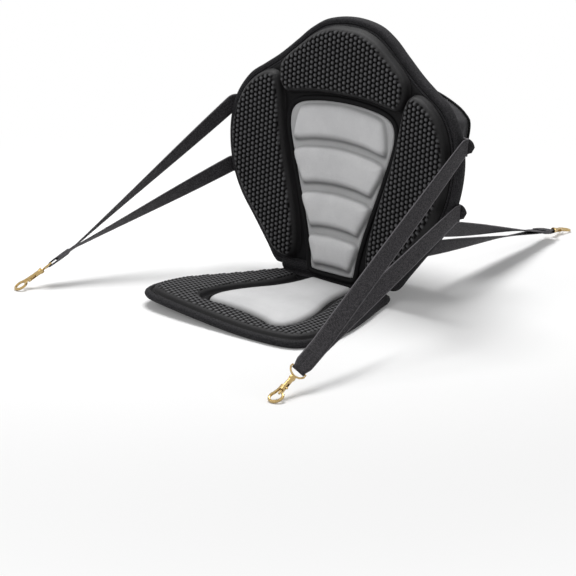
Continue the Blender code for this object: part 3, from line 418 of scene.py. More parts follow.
def fabric(name, light, dark, roughness, speckle=700.0, weave=1500.0, depth=0.0002, specular=0.25, sheen=0.0,
           painted_light_share=0.0):
    """Cloth whose threads vary between two shades, with a fine weave raised on it and its points' painted light
    and shade.
    """
    material = bpy.data.materials.new(name)
    tree, shader, add = node_set(material)
    place = add("TexCoord").outputs["Object"]
    slow = add("TexNoise", {"Vector": place, "Scale": 14.0, "Detail": 3.0}).outputs["Fac"]
    quick = add("TexNoise", {"Vector": place, "Scale": speckle, "Detail": 2.0}).outputs["Fac"]
    both = add("Math", {0: slow, 1: quick}, operation="ADD").outputs[0]
    share = add("MapRange", {"Value": both, "From Min": 0.75, "From Max": 1.25}).outputs[0]
    tint = add("MixRGB", {"Fac": share, "Color1": (*dark, 1.0), "Color2": (*light, 1.0)})
    # Painted shade darkens a point whose value is above 0 and lowers its shine; painted light lightens one below
    # 0
    painted_light_and_shade = add("Attribute", attribute_name="painted_light_and_shade").outputs["Fac"]
    crease = add("Math", {0: painted_light_and_shade, 1: 0.0}, operation="MAXIMUM").outputs[0]
    tint = add("MixRGB", {"Fac": crease, "Color1": tint.outputs["Color"],
                          "Color2": (*(part * PAINTED_SHADE_DARK for part in dark), 1.0)})
    painted_light_mask = add("Math", {0: painted_light_and_shade, 1: -painted_light_share}, operation="MULTIPLY", use_clamp=True).outputs[0]
    tint = add("MixRGB", {"Fac": painted_light_mask, "Color1": tint.outputs["Color"], "Color2": PAINTED_LIGHT_TINT})
    tree.links.new(tint.outputs["Color"], shader.inputs["Base Color"])
    shine = add("MapRange", {"Value": crease, "To Min": specular, "To Max": 0.02}).outputs[0]
    tree.links.new(shine, shader.inputs["Specular IOR Level"])
    shader.inputs["Roughness"].default_value = roughness
    shader.inputs["Sheen Weight"].default_value = sheen
    knit = add("TexVoronoi", {"Vector": place, "Scale": weave}).outputs["Distance"]
    raised = add("Bump", {"Height": knit, "Strength": 0.7, "Distance": depth}, invert=True)
    tree.links.new(raised.outputs[0], shader.inputs["Normal"])
    return material


# The pads' cloth shows the painted light of the studs' tops in full
pad_cloth = fabric("pad_cloth", (0.0125, 0.0120, 0.0128), (0.0065, 0.0062, 0.0068), 0.60, specular=0.20,
                   painted_light_share=1.0)
# Valley cloth: the pads' cloth in a darker colour, as painted shade in the valleys; the beads and pipings use it
# too
valley_cloth = fabric("valley_cloth", (0.0060, 0.0058, 0.0064), (0.0030, 0.0029, 0.0033), 0.62, specular=0.10)
thread = fabric("thread", (0.030, 0.030, 0.032), (0.018, 0.018, 0.020), 0.5)

BACK_OUTLINE = smooth_outline(whole([
    (0.0, 1.0), (0.20, 0.984), (0.34, 0.943), (0.46, 0.887), (0.60, 0.823), (0.735, 0.772), (0.84, 0.732),
    (0.925, 0.672), (0.972, 0.612), (0.998, 0.530), (0.993, 0.448), (0.966, 0.370), (0.918, 0.300),
    (0.850, 0.235), (0.735, 0.155), (0.615, 0.070), (0.535, 0.012), (0.47, 0.0), (0.25, 0.0), (0.0, 0.0),
], BACK_HALF, BACK_HEIGHT), 0.004)
TOP_PAD = smooth_outline(whole([
    (0.0, 0.962), (0.14, 0.955), (0.27, 0.925), (0.39, 0.875), (0.50, 0.822), (0.545, 0.780), (0.535, 0.720),
    (0.48, 0.684), (0.40, 0.688), (0.22, 0.702), (0.0, 0.706),
], BACK_HALF, BACK_HEIGHT), 0.003)
LEFT_PAD = smooth_outline([(x * BACK_HALF, y * BACK_HEIGHT) for x, y in (
    (0.66, 0.752), (0.75, 0.726), (0.84, 0.675), (0.900, 0.602), (0.928, 0.520), (0.920, 0.440),
    (0.887, 0.358), (0.822, 0.282), (0.722, 0.205), (0.610, 0.130), (0.520, 0.066), (0.430, 0.040),
    (0.340, 0.044), (0.302, 0.100), (0.325, 0.200), (0.378, 0.320), (0.446, 0.450), (0.490, 0.560),
    (0.515, 0.655), (0.545, 0.722), (0.590, 0.752),
)], 0.003)
RIGHT_PAD = LEFT_PAD * (-1.0, 1.0)
for pad_name, outline in (("top_pad", TOP_PAD), ("left_side_pad", LEFT_PAD), ("right_side_pad", RIGHT_PAD)):
    moulded_pad(pad_name, outline, base=VALLEY, rise=1.1, stud=0.0034, place=on_back, node="back_foam")

# Backrest cloth: the smooth black cloth of the same moulding, seen between the pads and the rim, darker than
# the pads' cloth as painted shade. It swells a little between them and dips into a crease along each pad and
# round the grey panel.
PANEL_HALF = [
    (0.0, 0.678), (0.20, 0.672), (0.365, 0.654), (0.438, 0.622), (0.452, 0.570), (0.430, 0.506),
    (0.344, 0.350), (0.252, 0.189), (0.205, 0.080), (0.192, 0.030), (0.165, 0.012), (0.0, 0.010),
]
PANEL = smooth_outline(whole(PANEL_HALF, BACK_HALF, BACK_HEIGHT), 0.003)


def drawn_down(near, seated, swell, crease, width):
    """Cloth that swells between sewn lines, dips along them and lies low under a piece sewn on it."""
    risen = swell * (1.0 - np.exp(-np.clip(near, 0.0, 1.0) / width)) - crease
    return np.where(near < -0.003, -crease, risen) + np.where(seated, -0.0060, 0.0)


def valley_height(points):
    near = np.full(len(points), 1.0)
    for loop in (TOP_PAD, LEFT_PAD, RIGHT_PAD):
        near = np.minimum(near, -depth_inside(points, loop))
    panel = -depth_inside(points, PANEL)
    near = np.minimum(near, panel)
    near = np.minimum(near, depth_inside(points, inset(BACK_OUTLINE, 0.018)))
    height = drawn_down(near, panel < 0.0, swell=0.0024, crease=0.0012, width=0.006)
    return height * (depth_inside(points, BACK_OUTLINE) > 0.0210)


bm, foot = crowned(BACK_OUTLINE, [(0.0045, -0.0100), (0.0045, 0.0), (0.0120, 0.0020), (0.0165, 0.0036),
                                  (0.0185, 0.0056), (0.0215, VALLEY)], 0.003)
settle(bm, "backrest_cloth", valley_height, on_back, valley_cloth, "foam_cloth", "back_foam", close=foot)

# Backrest rim: woven tape folded round the edge and sewn down, and a flatter second band inside it. A row of
# stitches runs along each.


def tape(name, light, dark, roughness, pitch=0.0016, depth=0.00025, selvedge=1.0, specular=0.15):
    """Woven tape: slanting threads that meet in a herringbone, slightly lighter at its edges."""
    material = bpy.data.materials.new(name)
    tree, shader, add = node_set(material)
    spot = add("SeparateXYZ", {0: add("UVMap").outputs["UV"]})
    along, across = spot.outputs["X"], spot.outputs["Y"]
    off = add("Math", {0: across}, operation="ABSOLUTE").outputs[0]
    slant = add("Math", {0: along, 1: off}, operation="ADD").outputs[0]

    def wave(value, step):
        turns = add("Math", {0: value, 1: 2 * math.pi / step}, operation="MULTIPLY").outputs[0]
        return add("Math", {0: turns}, operation="SINE").outputs[0]

    waves = {0: wave(slant, pitch), 1: wave(across, pitch * 1.1)}
    ribs = add("Math", waves, operation="ADD").outputs[0]
    height = add("MapRange", {"Value": ribs, "From Min": -2.0, "From Max": 2.0}).outputs[0]
    place = add("TexCoord").outputs["Object"]
    fleck = add("TexNoise", {"Vector": place, "Scale": 420.0, "Detail": 3.0}).outputs["Fac"]
    drift = add("MapRange", {"Value": fleck, "From Min": 0.35, "From Max": 0.65}).outputs[0]
    edge = add("Math", {0: off, 1: selvedge}, operation="GREATER_THAN").outputs[0]
    share = add("Math", {0: height, 1: drift}, operation="MULTIPLY").outputs[0]
    share = add("Math", {0: share, 1: edge}, operation="ADD", use_clamp=True).outputs[0]
    tint = add("MixRGB", {"Fac": share, "Color1": (*dark, 1.0), "Color2": (*light, 1.0)})
    tree.links.new(tint.outputs["Color"], shader.inputs["Base Color"])
    shader.inputs["Roughness"].default_value = roughness
    shader.inputs["Specular IOR Level"].default_value = specular
    raised = add("Bump", {"Height": height, "Strength": 0.8, "Distance": depth})
    tree.links.new(raised.outputs[0], shader.inputs["Normal"])
    return material


rim_tape = tape("rim_tape", (0.052, 0.050, 0.054), (0.007, 0.007, 0.008), 0.75, pitch=0.0022, specular=0.12)
RIM = [
    (0.0124, 0.0010), (0.0120, 0.0030), (0.0100, 0.0041), (0.0068, 0.0044), (0.0036, 0.0036),
    (0.0010, 0.0012), (-0.0004, -0.0030), (-0.0008, -0.0085), (-0.0002, -0.0138), (0.0026, -0.0176),
    (0.0070, -0.0190), (0.0110, -0.0189), (0.0122, -0.0170), (0.0110, -0.0080),
]
band("backrest_rim", BACK_OUTLINE, RIM, on_back, rim_tape, "binding_cloth", "back_binding")
INNER_BAND = [
    (0.0130, -0.0020), (0.0130, 0.0030), (0.0140, 0.0046), (0.0158, 0.0052), (0.0172, 0.0048),
    (0.0182, 0.0036), (0.0184, -0.0020),
]
band("backrest_inner_band", BACK_OUTLINE, INNER_BAND, on_back, rim_tape, "binding_cloth", "back_binding")
stitches("backrest_rim_stitches", [
    with_level(inset(BACK_OUTLINE, 0.0102), 0.0040), with_level(inset(BACK_OUTLINE, 0.0158), 0.0052),
    with_level(inset(BACK_OUTLINE, 0.0098), -0.0190),
], on_back, thread, "binding_cloth")

# Grey panel: padded cloth sewn in the middle of the backrest, with four arched ribs of thicker foam, a smooth
# black bead round it, and a flat hem outside the ribs.
RIB_EDGES = [(0.034, 0.150), (0.176, 0.309), (0.337, 0.475), (0.498, 0.640)]
RIB_ARCHES = [(0.004, 0.012), (0.012, 0.020), (0.020, 0.030), (0.030, 0.030)]


def panel_half_width(v):
    sides = sorted((y, x) for x, y in PANEL_HALF if x > 0.18)
    return np.interp(v, [y for y, x in sides], [x for y, x in sides])


ribs = []
for (low, high), (low_arch, high_arch) in zip(RIB_EDGES, RIB_ARCHES):
    margin, corner = 0.0052 / BACK_HALF, 0.012 / BACK_HEIGHT
    wide, narrow = panel_half_width(high) - margin, panel_half_width(low) - margin
    arch = [(0.0, 1.0), (0.5, 0.75), (0.88, 0.22)]
    half = [(wide * x, high + high_arch * y) for x, y in arch] + [(wide, high - corner), (narrow, low + corner)]
    half += [(narrow * x, low + low_arch * y) for x, y in reversed(arch)]
    ribs.append(smooth_outline(whole(half, BACK_HALF, BACK_HEIGHT), 0.003))
RIB_CURVE = np.array([
    (-0.2, 0.0), (-0.0040, 0.0), (0.0, -0.0010), (0.0012, 0.0002), (0.0026, 0.0028), (0.0044, 0.0052),
    (0.0070, 0.0072), (0.0105, 0.0087), (0.0150, 0.0097), (0.0220, 0.0104), (0.2, 0.0108),
])


def rib_depth(points):
    return np.max([depth_inside(points, rib) for rib in ribs], axis=0)


PANEL_LEVEL = 0.0024
HEM_CURVE = np.array([(0.0, 0.0), (0.0008, 0.0042), (0.0022, 0.0070), (0.0045, 0.0082)])


def panel_height(points):
    hem = np.interp(depth_inside(points, PANEL), *HEM_CURVE.T)
    return PANEL_LEVEL + hem + np.interp(rib_depth(points), *RIB_CURVE.T)


grey_cloth = fabric("grey_cloth", (0.72, 0.72, 0.725), (0.59, 0.59, 0.60), 0.85, speckle=900.0, weave=1300.0,
                    depth=0.0003, specular=0.1, sheen=0.1)
bm, foot = crowned(PANEL, [(0.0, -0.0020)] + [(depth, 0.0) for depth in HEM_CURVE[:, 0]], 0.00125)
flat = flat_points(bm)
panel = settle(bm, "grey_panel", panel_height, on_back, grey_cloth, "grey_cloth", "back_panel", close=foot)
# Painted shade: darker cloth between the ribs and a darker band along each rib's lower edge
on_rib = smooth_step(rib_depth(flat), -0.0010, 0.0070)
below = 1.0 - smooth_step(rib_depth(flat - (0.0, 0.0090)), -0.0060, 0.0070)
above = smooth_step(rib_depth(flat + (0.0, 0.0050)), -0.0030, 0.0060)
shade(panel, 0.34 * (1.0 - on_rib) + 0.50 * below * above)


def round_section(depth, level, half_width, half_height, sides):
    """The section of a bead or a piping as (depth, height) pairs."""
    return [(depth + half_width * math.cos(a), level + half_height * math.sin(a))
            for a in np.linspace(0.0, 2 * math.pi, sides, endpoint=False)]


bead_section = round_section(-0.0044, 0.0075, 0.0056, 0.0050, sides=14)
band("panel_bead", PANEL, bead_section, on_back, valley_cloth, "binding_cloth", "back_panel_bead")

# Back of the backrest: plain black woven cloth over the stiffening board, caught by the rim's sewing all round.
# It is slightly loose, so it sinks a little behind the rim and ripples.


def rear_height(points):
    depth = depth_inside(points, BACK_OUTLINE)
    ripple = 0.0005 * np.sin(points[:, 0] * 47.0 + 1.3 * np.sin(points[:, 1] * 31.0))
    return -0.0006 * smooth_step(depth, 0.008, 0.03) + ripple * smooth_step(depth, 0.01, 0.05)


cover_cloth = fabric("cover_cloth", (0.016, 0.016, 0.017), (0.009, 0.009, 0.010), 0.6, weave=1100.0,
                     depth=0.0003)
bm, foot = crowned(BACK_OUTLINE, [(0.0050, -0.0133), (0.0050, -0.0160), (0.0110, -0.0163),
                                  (0.0160, -0.0163)], 0.008)
settle(bm, "backrest_cover", rear_height, on_back, cover_cloth, "foam_cloth", "back_rear_cover", close=foot)

# Base pad: the same studded foam and stretch cloth, moulded as a horseshoe round the seat insert, open towards
# the backrest. The base lies flat but for one front corner, and its opening is sewn a little to one side.
BASE_HALF_WIDTH, BASE_DEPTH = 0.216, 0.355
BASE_TOP = 0.0126
CORNER_CURL = 0.016


def base_points(half):
    return [(x, y - 0.5) for x, y in half]


def on_base(points):
    """Places on the base, with the curl of its front corner."""
    flat = np.array(points, float)
    corner = smooth_step(-flat[:, 0], -0.12, 0.21) * smooth_step(-flat[:, 1], -0.15, 0.17)
    flat[:, 2] += CORNER_CURL * corner
    return flat


BASE_OUTLINE = smooth_outline(whole(base_points([
    (0.0, 1.0), (0.45, 1.0), (0.60, 0.992), (0.665, 0.950), (0.74, 0.82), (0.85, 0.64), (0.94, 0.46),
    (0.99, 0.30), (0.995, 0.20), (0.95, 0.10), (0.86, 0.045), (0.70, 0.018), (0.40, 0.004), (0.0, 0.0),
]), BASE_HALF_WIDTH, BASE_DEPTH), 0.004)
pad_outer = base_points([
    (0.45, 0.914), (0.570, 0.912), (0.635, 0.866), (0.715, 0.74), (0.815, 0.57), (0.895, 0.42), (0.928, 0.28),
    (0.912, 0.165), (0.835, 0.094), (0.66, 0.056), (0.38, 0.042), (0.0, 0.038),
])
pad_inner = base_points([
    (0.0, 0.196), (0.22, 0.186), (0.42, 0.162), (0.520, 0.200), (0.545, 0.31), (0.520, 0.44), (0.468, 0.55),
    (0.402, 0.66), (0.358, 0.77), (0.365, 0.87),
])


def askew(points):
    """The insert and the opening round it sit a little to one side, as sewn."""
    return [(x + 0.055 * (1.0 - y), y - 0.03 * x) for x, y in points]


horseshoe = pad_outer + [(-x, y) for x, y in reversed(pad_outer[:-1])] + askew([
    (-x, y) for x, y in reversed(pad_inner)] + pad_inner[1:])
BASE_PAD = smooth_outline([(x * BASE_HALF_WIDTH, y * BASE_DEPTH) for x, y in horseshoe], 0.003)
moulded_pad("base_pad", BASE_PAD, base=BASE_TOP, rise=0.60, stud=0.0020, place=on_base, node="base_foam")

# Seat insert: pale padded cloth sewn down over soft foam in the middle of the base. It is crowned, with painted
# shade along the crease of its sewing, and sits to one side like the opening round it.
insert_half = base_points([
    (0.0, 0.232), (0.20, 0.220), (0.37, 0.198), (0.462, 0.228), (0.492, 0.31), (0.470, 0.42), (0.418, 0.53),
    (0.350, 0.63), (0.302, 0.73), (0.278, 0.83), (0.266, 0.910), (0.225, 0.936), (0.0, 0.936),
])
INSERT = smooth_outline([(x * BASE_HALF_WIDTH, y * BASE_DEPTH)
                         for x, y in askew(whole(insert_half, 1.0, 1.0))], 0.003)
INSERT_FOOT = -0.0056
INSERT_CURVE = np.array([
    (0.0, 0.0), (0.0006, 0.0036), (0.0020, 0.0066), (0.0042, 0.0090), (0.0075, 0.0110), (0.0120, 0.0127),
    (0.0200, 0.0146), (0.0400, 0.0168), (0.2, 0.0178),
])
pale_cloth = fabric("pale_cloth", (0.61, 0.61, 0.615), (0.51, 0.51, 0.515), 0.85, speckle=900.0, weave=1300.0,
                    depth=0.0003, specular=0.1, sheen=0.1)


def insert_height(points):
    return BASE_TOP + np.interp(depth_inside(points, INSERT), *INSERT_CURVE.T)


bm, foot = crowned(INSERT, [(0.0, -0.0057)] + [(depth, INSERT_FOOT) for depth in INSERT_CURVE[:5, 0]], 0.003)
flat = flat_points(bm)
insert = settle(bm, "seat_insert", insert_height, on_base, pale_cloth, "pale_cloth", "base_insert", close=foot)
# Painted shade: the insert's cloth darkens towards its sewn edge
shade(insert, 0.45 * (1.0 - smooth_step(depth_inside(flat, INSERT), 0.0, 0.0120)))

# Base cloth: the smooth black cloth of the same moulding, seen between the base pad, the insert and the rim.
# It is drawn down into a crease along each of them. Its colour, darker than the pads' cloth, is painted shade.


def base_valley(points):
    insert_gap = -depth_inside(points, INSERT)
    near = np.minimum(-depth_inside(points, BASE_PAD), depth_inside(points, inset(BASE_OUTLINE, 0.012)))
    near = np.minimum(near, insert_gap)
    height = drawn_down(near, insert_gap < 0.0, swell=0.0022, crease=0.0010, width=0.005)
    return height * (depth_inside(points, BASE_OUTLINE) > 0.0120)


bm, foot = crowned(BASE_OUTLINE, [(0.0045, 0.0040), (0.0045, 0.0105), (0.0100, 0.0116),
                                  (0.0125, BASE_TOP)], 0.003)
settle(bm, "base_cloth", base_valley, on_base, valley_cloth, "foam_cloth", "base_foam", close=foot)

# Base rim: woven tape folded round the base's edge in a rounded roll, and sewn down through the base with one
# row of stitches.
BASE_RIM = [
    (0.0122, 0.0118), (0.0110, 0.0136), (0.0080, 0.0146), (0.0045, 0.0140), (0.0015, 0.0116),
    (0.0000, 0.0084), (0.0004, 0.0050), (0.0024, 0.0020), (0.0058, 0.0004), (0.0095, 0.0006),
    (0.0118, 0.0030),
]
band("base_rim", BASE_OUTLINE, BASE_RIM, on_base, rim_tape, "binding_cloth", "base_binding")
stitches("base_rim_stitches", [with_level(inset(BASE_OUTLINE, 0.0098), 0.0143)], on_base, thread,
         "binding_cloth")

# Underside: tough coarse cloth bonded under the whole base and caught by the rim's sewing. It lies just clear
# of the ground inside the rim.
underside_cloth = fabric("underside_cloth", (0.014, 0.014, 0.015), (0.008, 0.008, 0.009), 0.8, weave=700.0,
                         depth=0.0006)


def no_rise(points):
    return 0.0 * points[:, 0]


bm, foot = crowned(BASE_OUTLINE, [(0.0070, 0.0040), (0.0070, 0.0016), (0.0110, 0.0003), (0.0150, 0.0)], 0.010)
settle(bm, "base_underside_cloth", no_rise, on_base, underside_cloth, "underside_cloth", "base_underside",
       close=foot)

# Hinge: a strip of the rim's woven tape in two soft rolls, sewn to the base's back edge and to the backrest's
# foot, so that the seat folds flat.
STRIP_HALF, STRIP_REACH, ROLL_HEIGHT = 0.130, 0.0150, 0.0026


def strip_points(flat):
    """(across, way along the strip, level) as places from the base's top up the backrest."""
    u, s, level = flat.T
    fold = smooth_step(s, -0.004, 0.004)
    y_base = HINGE_Y - 0.0022 + np.minimum(s, 0.0)
    flat_place = np.stack([u, y_base, np.full(len(u), BASE_TOP + 0.0014) + level], axis=1)
    up = on_back(np.stack([u, np.maximum(s, 0.0) * 1.2 - 0.004, 0.0050 + level + 0.002 * (1 - fold)], axis=1))
    return flat_place * (1 - fold)[:, None] + up * fold[:, None]


bm = bmesh.new()
bmesh.ops.create_grid(bm, x_segments=80, y_segments=32, size=1.0)
layer = bm.loops.layers.uv.new("tape")
for face in bm.faces:
    for corner in face.loops:
        corner[layer].uv = (corner.vert.co.x * STRIP_HALF, corner.vert.co.y * STRIP_REACH)
flat = np.array([vertex.co for vertex in bm.verts]) * (STRIP_HALF, STRIP_REACH, 0.0)
flat[:, 2] = ROLL_HEIGHT * np.abs(np.sin(flat[:, 1] / STRIP_REACH * math.pi)) ** 0.7
lay(bm, strip_points(flat), closed=False)
strip = shown("hinge_band", meshed("hinge_band", bm), rim_tape, "binding_cloth", "hinge_strip")


def thicken(made, thickness):
    """Give cloth its thickness, half to each side."""
    added = made.modifiers.new("thickness", "SOLIDIFY")
    added.thickness = thickness
    added.offset = 0.0


thicken(strip, 0.0016)

# Legs of webbing: eight lengths of woven webbing. The front ones run from a sewn start behind the backrest,
# through a three-bar slide and round the edge; the rear ones are sewn flat. Each pair meets at a bolt snap.
WEBBING_WIDTH, WEBBING = 0.032, 0.0016
GAP = 0.0003  # left between touching pieces
COVER_BACK = -0.0163
BACK_LEVEL = COVER_BACK - GAP - WEBBING / 2
LIP_LEVEL = COVER_BACK - 0.0028 - GAP - WEBBING / 2
UPPER_HEIGHT, LOWER_HEIGHT = 0.298, 0.175
REAR_HEIGHTS = (0.130, 0.075)
SLIDE_SET_BACK = 0.036
BAR_HALF, BAR_CLEAR = 0.0022, 0.0065
OVER_BAR = BACK_LEVEL - WEBBING / 2 - 2 * GAP - 0.0025 - WEBBING / 2
HOOK_ENDS = {
    "front_left": (0.351, -0.382, 0.0027), "front_right": (-0.443, -0.263, 0.0027),
    "rear_left": (0.081, 0.814, 0.0027), "rear_right": (-0.270, 0.690, 0.0027),
}
HOOK_LENGTH = 0.0819
EYE_ROLLS = {"front_left": -44.0, "front_right": 29.0, "rear_left": 0.0, "rear_right": 0.0}
BACK_UP = Vector((0.0, math.sin(RECLINE), math.cos(RECLINE)))


def back_place(u, v, out):
    return Vector(on_back(np.array([[u, v, out]]))[0])


def edge_half(height):
    """Half the backrest's width at a height on its lower, outer side."""
    ahead = np.roll(BACK_OUTLINE, -1, axis=0)
    found = 0.0
    for (x0, y0), (x1, y1) in zip(BACK_OUTLINE, ahead):
        if min(x0, x1) > 0.0 and (y0 - height) * (y1 - height) <= 0.0 and y0 != y1:
            found = max(found, x0 + (x1 - x0) * (height - y0) / (y1 - y0))
    return found


def clear_half(height):
    return max(edge_half(height + step * WEBBING_WIDTH / 2) for step in (-1, 0, 1))


def front_start(side, height):
    """From the first sewing through the slide and over the rim to the backrest's edge."""
    edge = clear_half(height)
    centre = edge - SLIDE_SET_BACK
    route = [
        (edge - 0.061, BACK_LEVEL), (centre - BAR_CLEAR, BACK_LEVEL), (centre - BAR_HALF, OVER_BAR),
        (centre + BAR_HALF, OVER_BAR), (centre + BAR_CLEAR, BACK_LEVEL), (edge - 0.0257, BACK_LEVEL),
        (edge - 0.0232, LIP_LEVEL), (edge - 0.0030, LIP_LEVEL), (edge + 0.0022, COVER_BACK - 0.0012),
        (edge + 0.0034, COVER_BACK / 3),
    ]
    return [(back_place(side * u, height, out), BACK_UP, WEBBING_WIDTH) for u, out in route]


def rear_start(side, height):
    """Sewn flat on the backrest's cover, and lifting off it."""
    outer = edge_half(height - WEBBING_WIDTH / 2) - 0.014
    inner = outer - 0.030
    route = [(outer, BACK_LEVEL), (inner, BACK_LEVEL), (inner - 0.0015, BACK_LEVEL - 0.0030)]
    return [(back_place(side * u, height, out), BACK_UP, WEBBING_WIDTH) for u, out in route]


def ribbon(name, stations, material, slot, *nodes, thickness=WEBBING, step=0.0015, rounding=4):
    """Webbing through stations of (centre, direction of its width, width), its bends rounded."""
    rows = [(*stations[0][0], *stations[0][1], stations[0][2])]
    for (a, side_a, width_a), (b, side_b, width_b) in zip(stations, stations[1:]):
        count = max(1, int(math.ceil((b - a).length / step)))
        for share in np.arange(1, count + 1) / count:
            width = width_a + (width_b - width_a) * share
            rows.append((*a.lerp(b, share), *side_a.lerp(side_b, share), width))
    rows = np.array(rows)
    for _ in range(rounding):
        rows[1:-1] = (rows[:-2] + 2 * rows[1:-1] + rows[2:]) / 4
    length = np.concatenate([[0.0], np.cumsum(np.linalg.norm(np.diff(rows[:, :3], axis=0), axis=1))])
    along = np.gradient(rows[:, :3], axis=0)
    along /= np.linalg.norm(along, axis=1)[:, None]
    side = rows[:, 3:6] - along * np.sum(along * rows[:, 3:6], axis=1)[:, None]
    side /= np.linalg.norm(side, axis=1)[:, None]
    bm = bmesh.new()
    layer = bm.loops.layers.uv.new("tape")
    bmesh.ops.create_grid(bm, x_segments=len(rows) - 1, y_segments=6, size=1.0)
    flat = np.array([vertex.co for vertex in bm.verts])
    row = np.round((flat[:, 0] + 1.0) / 2 * (len(rows) - 1)).astype(int)
    across = flat[:, 1] / 2 * rows[row, 6]
    for face in bm.faces:
        for corner in face.loops:
            index = corner.vert.index
            corner[layer].uv = (length[row[index]], across[index])
    places = rows[row, :3] + side[row] * across[:, None]
    for vertex, point in zip(bm.verts, places):
        vertex.co = point
    made = shown(name, meshed(name, bm), material, slot, *nodes)
    thicken(made, thickness)


webbing = tape("webbing", (0.120, 0.114, 0.122), (0.022, 0.021, 0.023), 0.70, pitch=0.0022, depth=0.0003,
               selvedge=0.0146, specular=0.14)
# Distances from a snap's eye: where a leg stops twisting and where it ends, and how far each is off the middle
LEG_STRAIGHT, LEG_END, LEG_APART = 0.063, 0.018, 0.0011
hooks = {}
for corner, end in HOOK_ENDS.items():
    side = 1.0 if corner.endswith("left") else -1.0
    heights = (UPPER_HEIGHT, LOWER_HEIGHT) if corner.startswith("front") else REAR_HEIGHTS
    starts = [(front_start if corner.startswith("front") else rear_start)(side, height) for height in heights]
    back = ((starts[0][-1][0] + starts[1][-1][0]) / 2 - Vector(end)).normalized()
    across = Vector((0.0, 0.0, 1.0)).cross(-back).normalized()
    up = (-back).cross(across).normalized()
    eye = Vector(end) + back * HOOK_LENGTH
    roll = Matrix.Rotation(math.radians(EYE_ROLLS[corner]), 3, -back)
    across, up = roll @ across, roll @ up
    hooks[corner] = (eye, -back, across, up)
    for level, sign, start in zip(("upper", "lower"), (1.0, -1.0), starts):
        name = corner + "_" + level + "_leg"
        turned = across if BACK_UP.dot(across) >= 0.0 else -across
        offset = up * LEG_APART * sign
        stations = list(start)
        near = eye + back * LEG_STRAIGHT + offset
        origin = stations[-1][0]
        for share in np.linspace(0.0, 1.0, 15)[1:]:
            twist = BACK_UP.lerp(turned, share).normalized()
            stations.append((origin.lerp(near, share), twist, WEBBING_WIDTH))
        stations.append((eye + back * LEG_END + offset, turned, WEBBING_WIDTH))
        ribbon(name + "_webbing", stations, webbing, "webbing", name)

# End loops: a short fold of the same webbing round each snap's eye, gathered where it passes through. Both legs
# are sewn between its two layers with a crossed box of stitches.
LOOP_HALF, GATHERED = 0.0030, 0.025
LOOP_WIDTHS = ((0.045, WEBBING_WIDTH), (0.018, WEBBING_WIDTH), (0.006, GATHERED))
for corner, (eye, along, across, up) in hooks.items():
    stations = [(eye - along * distance + up * LOOP_HALF, across, width) for distance, width in LOOP_WIDTHS]
    for degrees in (60, 30, 0, -30, -60):
        angle = math.radians(degrees)
        bend = along * math.cos(angle) + up * math.sin(angle)
        stations.append((eye + bend * LOOP_HALF, across, GATHERED))
    stations += [(eye - along * distance - up * LOOP_HALF, across, width)
                 for distance, width in reversed(LOOP_WIDTHS)]
    ribbon(corner + "_loop_webbing", stations, webbing, "webbing", corner + "_end_loop", step=0.001,
           rounding=3)

    def on_loop(points, eye=eye, along=along, across=across, up=up):
        return np.array([eye + along * x + across * y + up * z for x, y, z in points])

    box = [(-0.0425, -0.0130), (-0.0425, 0.0130), (-0.0220, 0.0130), (-0.0220, -0.0130), (-0.0425, -0.0130),
           (-0.0220, 0.0130), (-0.0220, -0.0130), (-0.0425, 0.0130)]
    rows = [with_level(np.array(box), level) for level in (0.0039, -0.0039)]
    stitches(corner + "_loop_stitches", rows, on_loop, thread, "webbing", pitch=0.0028, closed=False)

# Slides and tails: each front leg passes a moulded three-bar slide that sets its length. The short loose end of
# its webbing lies over it, narrowing and dropping outside the rim.
TAIL = ((-0.0205, 0.0, 0.0, WEBBING_WIDTH), (-0.004, 0.0, 0.0002, WEBBING_WIDTH),
        (0.002, 0.0016, 0.0016, 0.026), (0.008, 0.0046, 0.0040, 0.012))
for word, side in (("left", 1.0), ("right", -1.0)):
    for level, height in (("upper", UPPER_HEIGHT), ("lower", LOWER_HEIGHT)):
        name = "front_" + word + "_" + level + "_tail"
        edge = clear_half(height)
        out = LIP_LEVEL - WEBBING - GAP
        ends = [(back_place(side * (edge + reach), height - fall, out - drop), BACK_UP, width)
                for reach, fall, drop, width in TAIL]
        ribbon(name + "_webbing", ends, webbing, "webbing", name)

# Pack: a zipped bag of smooth dark cloth with piped seams, sewn behind the backrest by its stiff flange. It is
# empty, so its cloth sags in soft folds between the seams. It grows wider and deeper towards its back.
FLANGE = 0.0040
PACK_START = COVER_BACK - GAP - FLANGE - GAP
PACK_FOOT, PACK_TOP, PACK_SHOULDER = 0.115, 0.372, 0.315
PACK_HALF = 0.165
FOOT_DEPTH, TOP_DEPTH = 0.112, 0.140
FULLER, WIDER = 0.012, 0.07
SEAM_SHARE = 0.9  # the seam round the pack's back, as a share of its depth
PACK = smooth_outline(whole([
    (0.0, PACK_TOP), (0.35, PACK_TOP - 0.0057), (0.68, PACK_TOP - 0.0217), (0.92, PACK_TOP - 0.0427),
    (1.0, PACK_SHOULDER - 0.012), (0.948, 0.210), (0.897, PACK_FOOT + 0.020), (0.807, PACK_FOOT + 0.002),
    (0.448, PACK_FOOT), (0.0, PACK_FOOT),
], PACK_HALF, 1.0), 0.006)


def unwrapped(points):
    """Places behind the backrest, where nothing follows its arc."""
    flat = np.array(points, float)
    flat[:, 2] -= flat[:, 0] ** 2 / (2 * WRAP_RADIUS)
    return on_back(flat)


def pack_depth(v):
    return FOOT_DEPTH + (TOP_DEPTH - FOOT_DEPTH) * (v - PACK_FOOT) / (PACK_TOP - PACK_FOOT)


def on_pack(points):
    """(across, up, share of the pack's depth) as places."""
    flat = np.array(points, float)
    full = smooth_step(flat[:, 2], 0.35, 0.85)
    flat[:, 2] = PACK_START - (pack_depth(flat[:, 1]) + FULLER * full) * flat[:, 2]
    flat[:, 0] *= 1.0 + WIDER * full
    return unwrapped(flat)


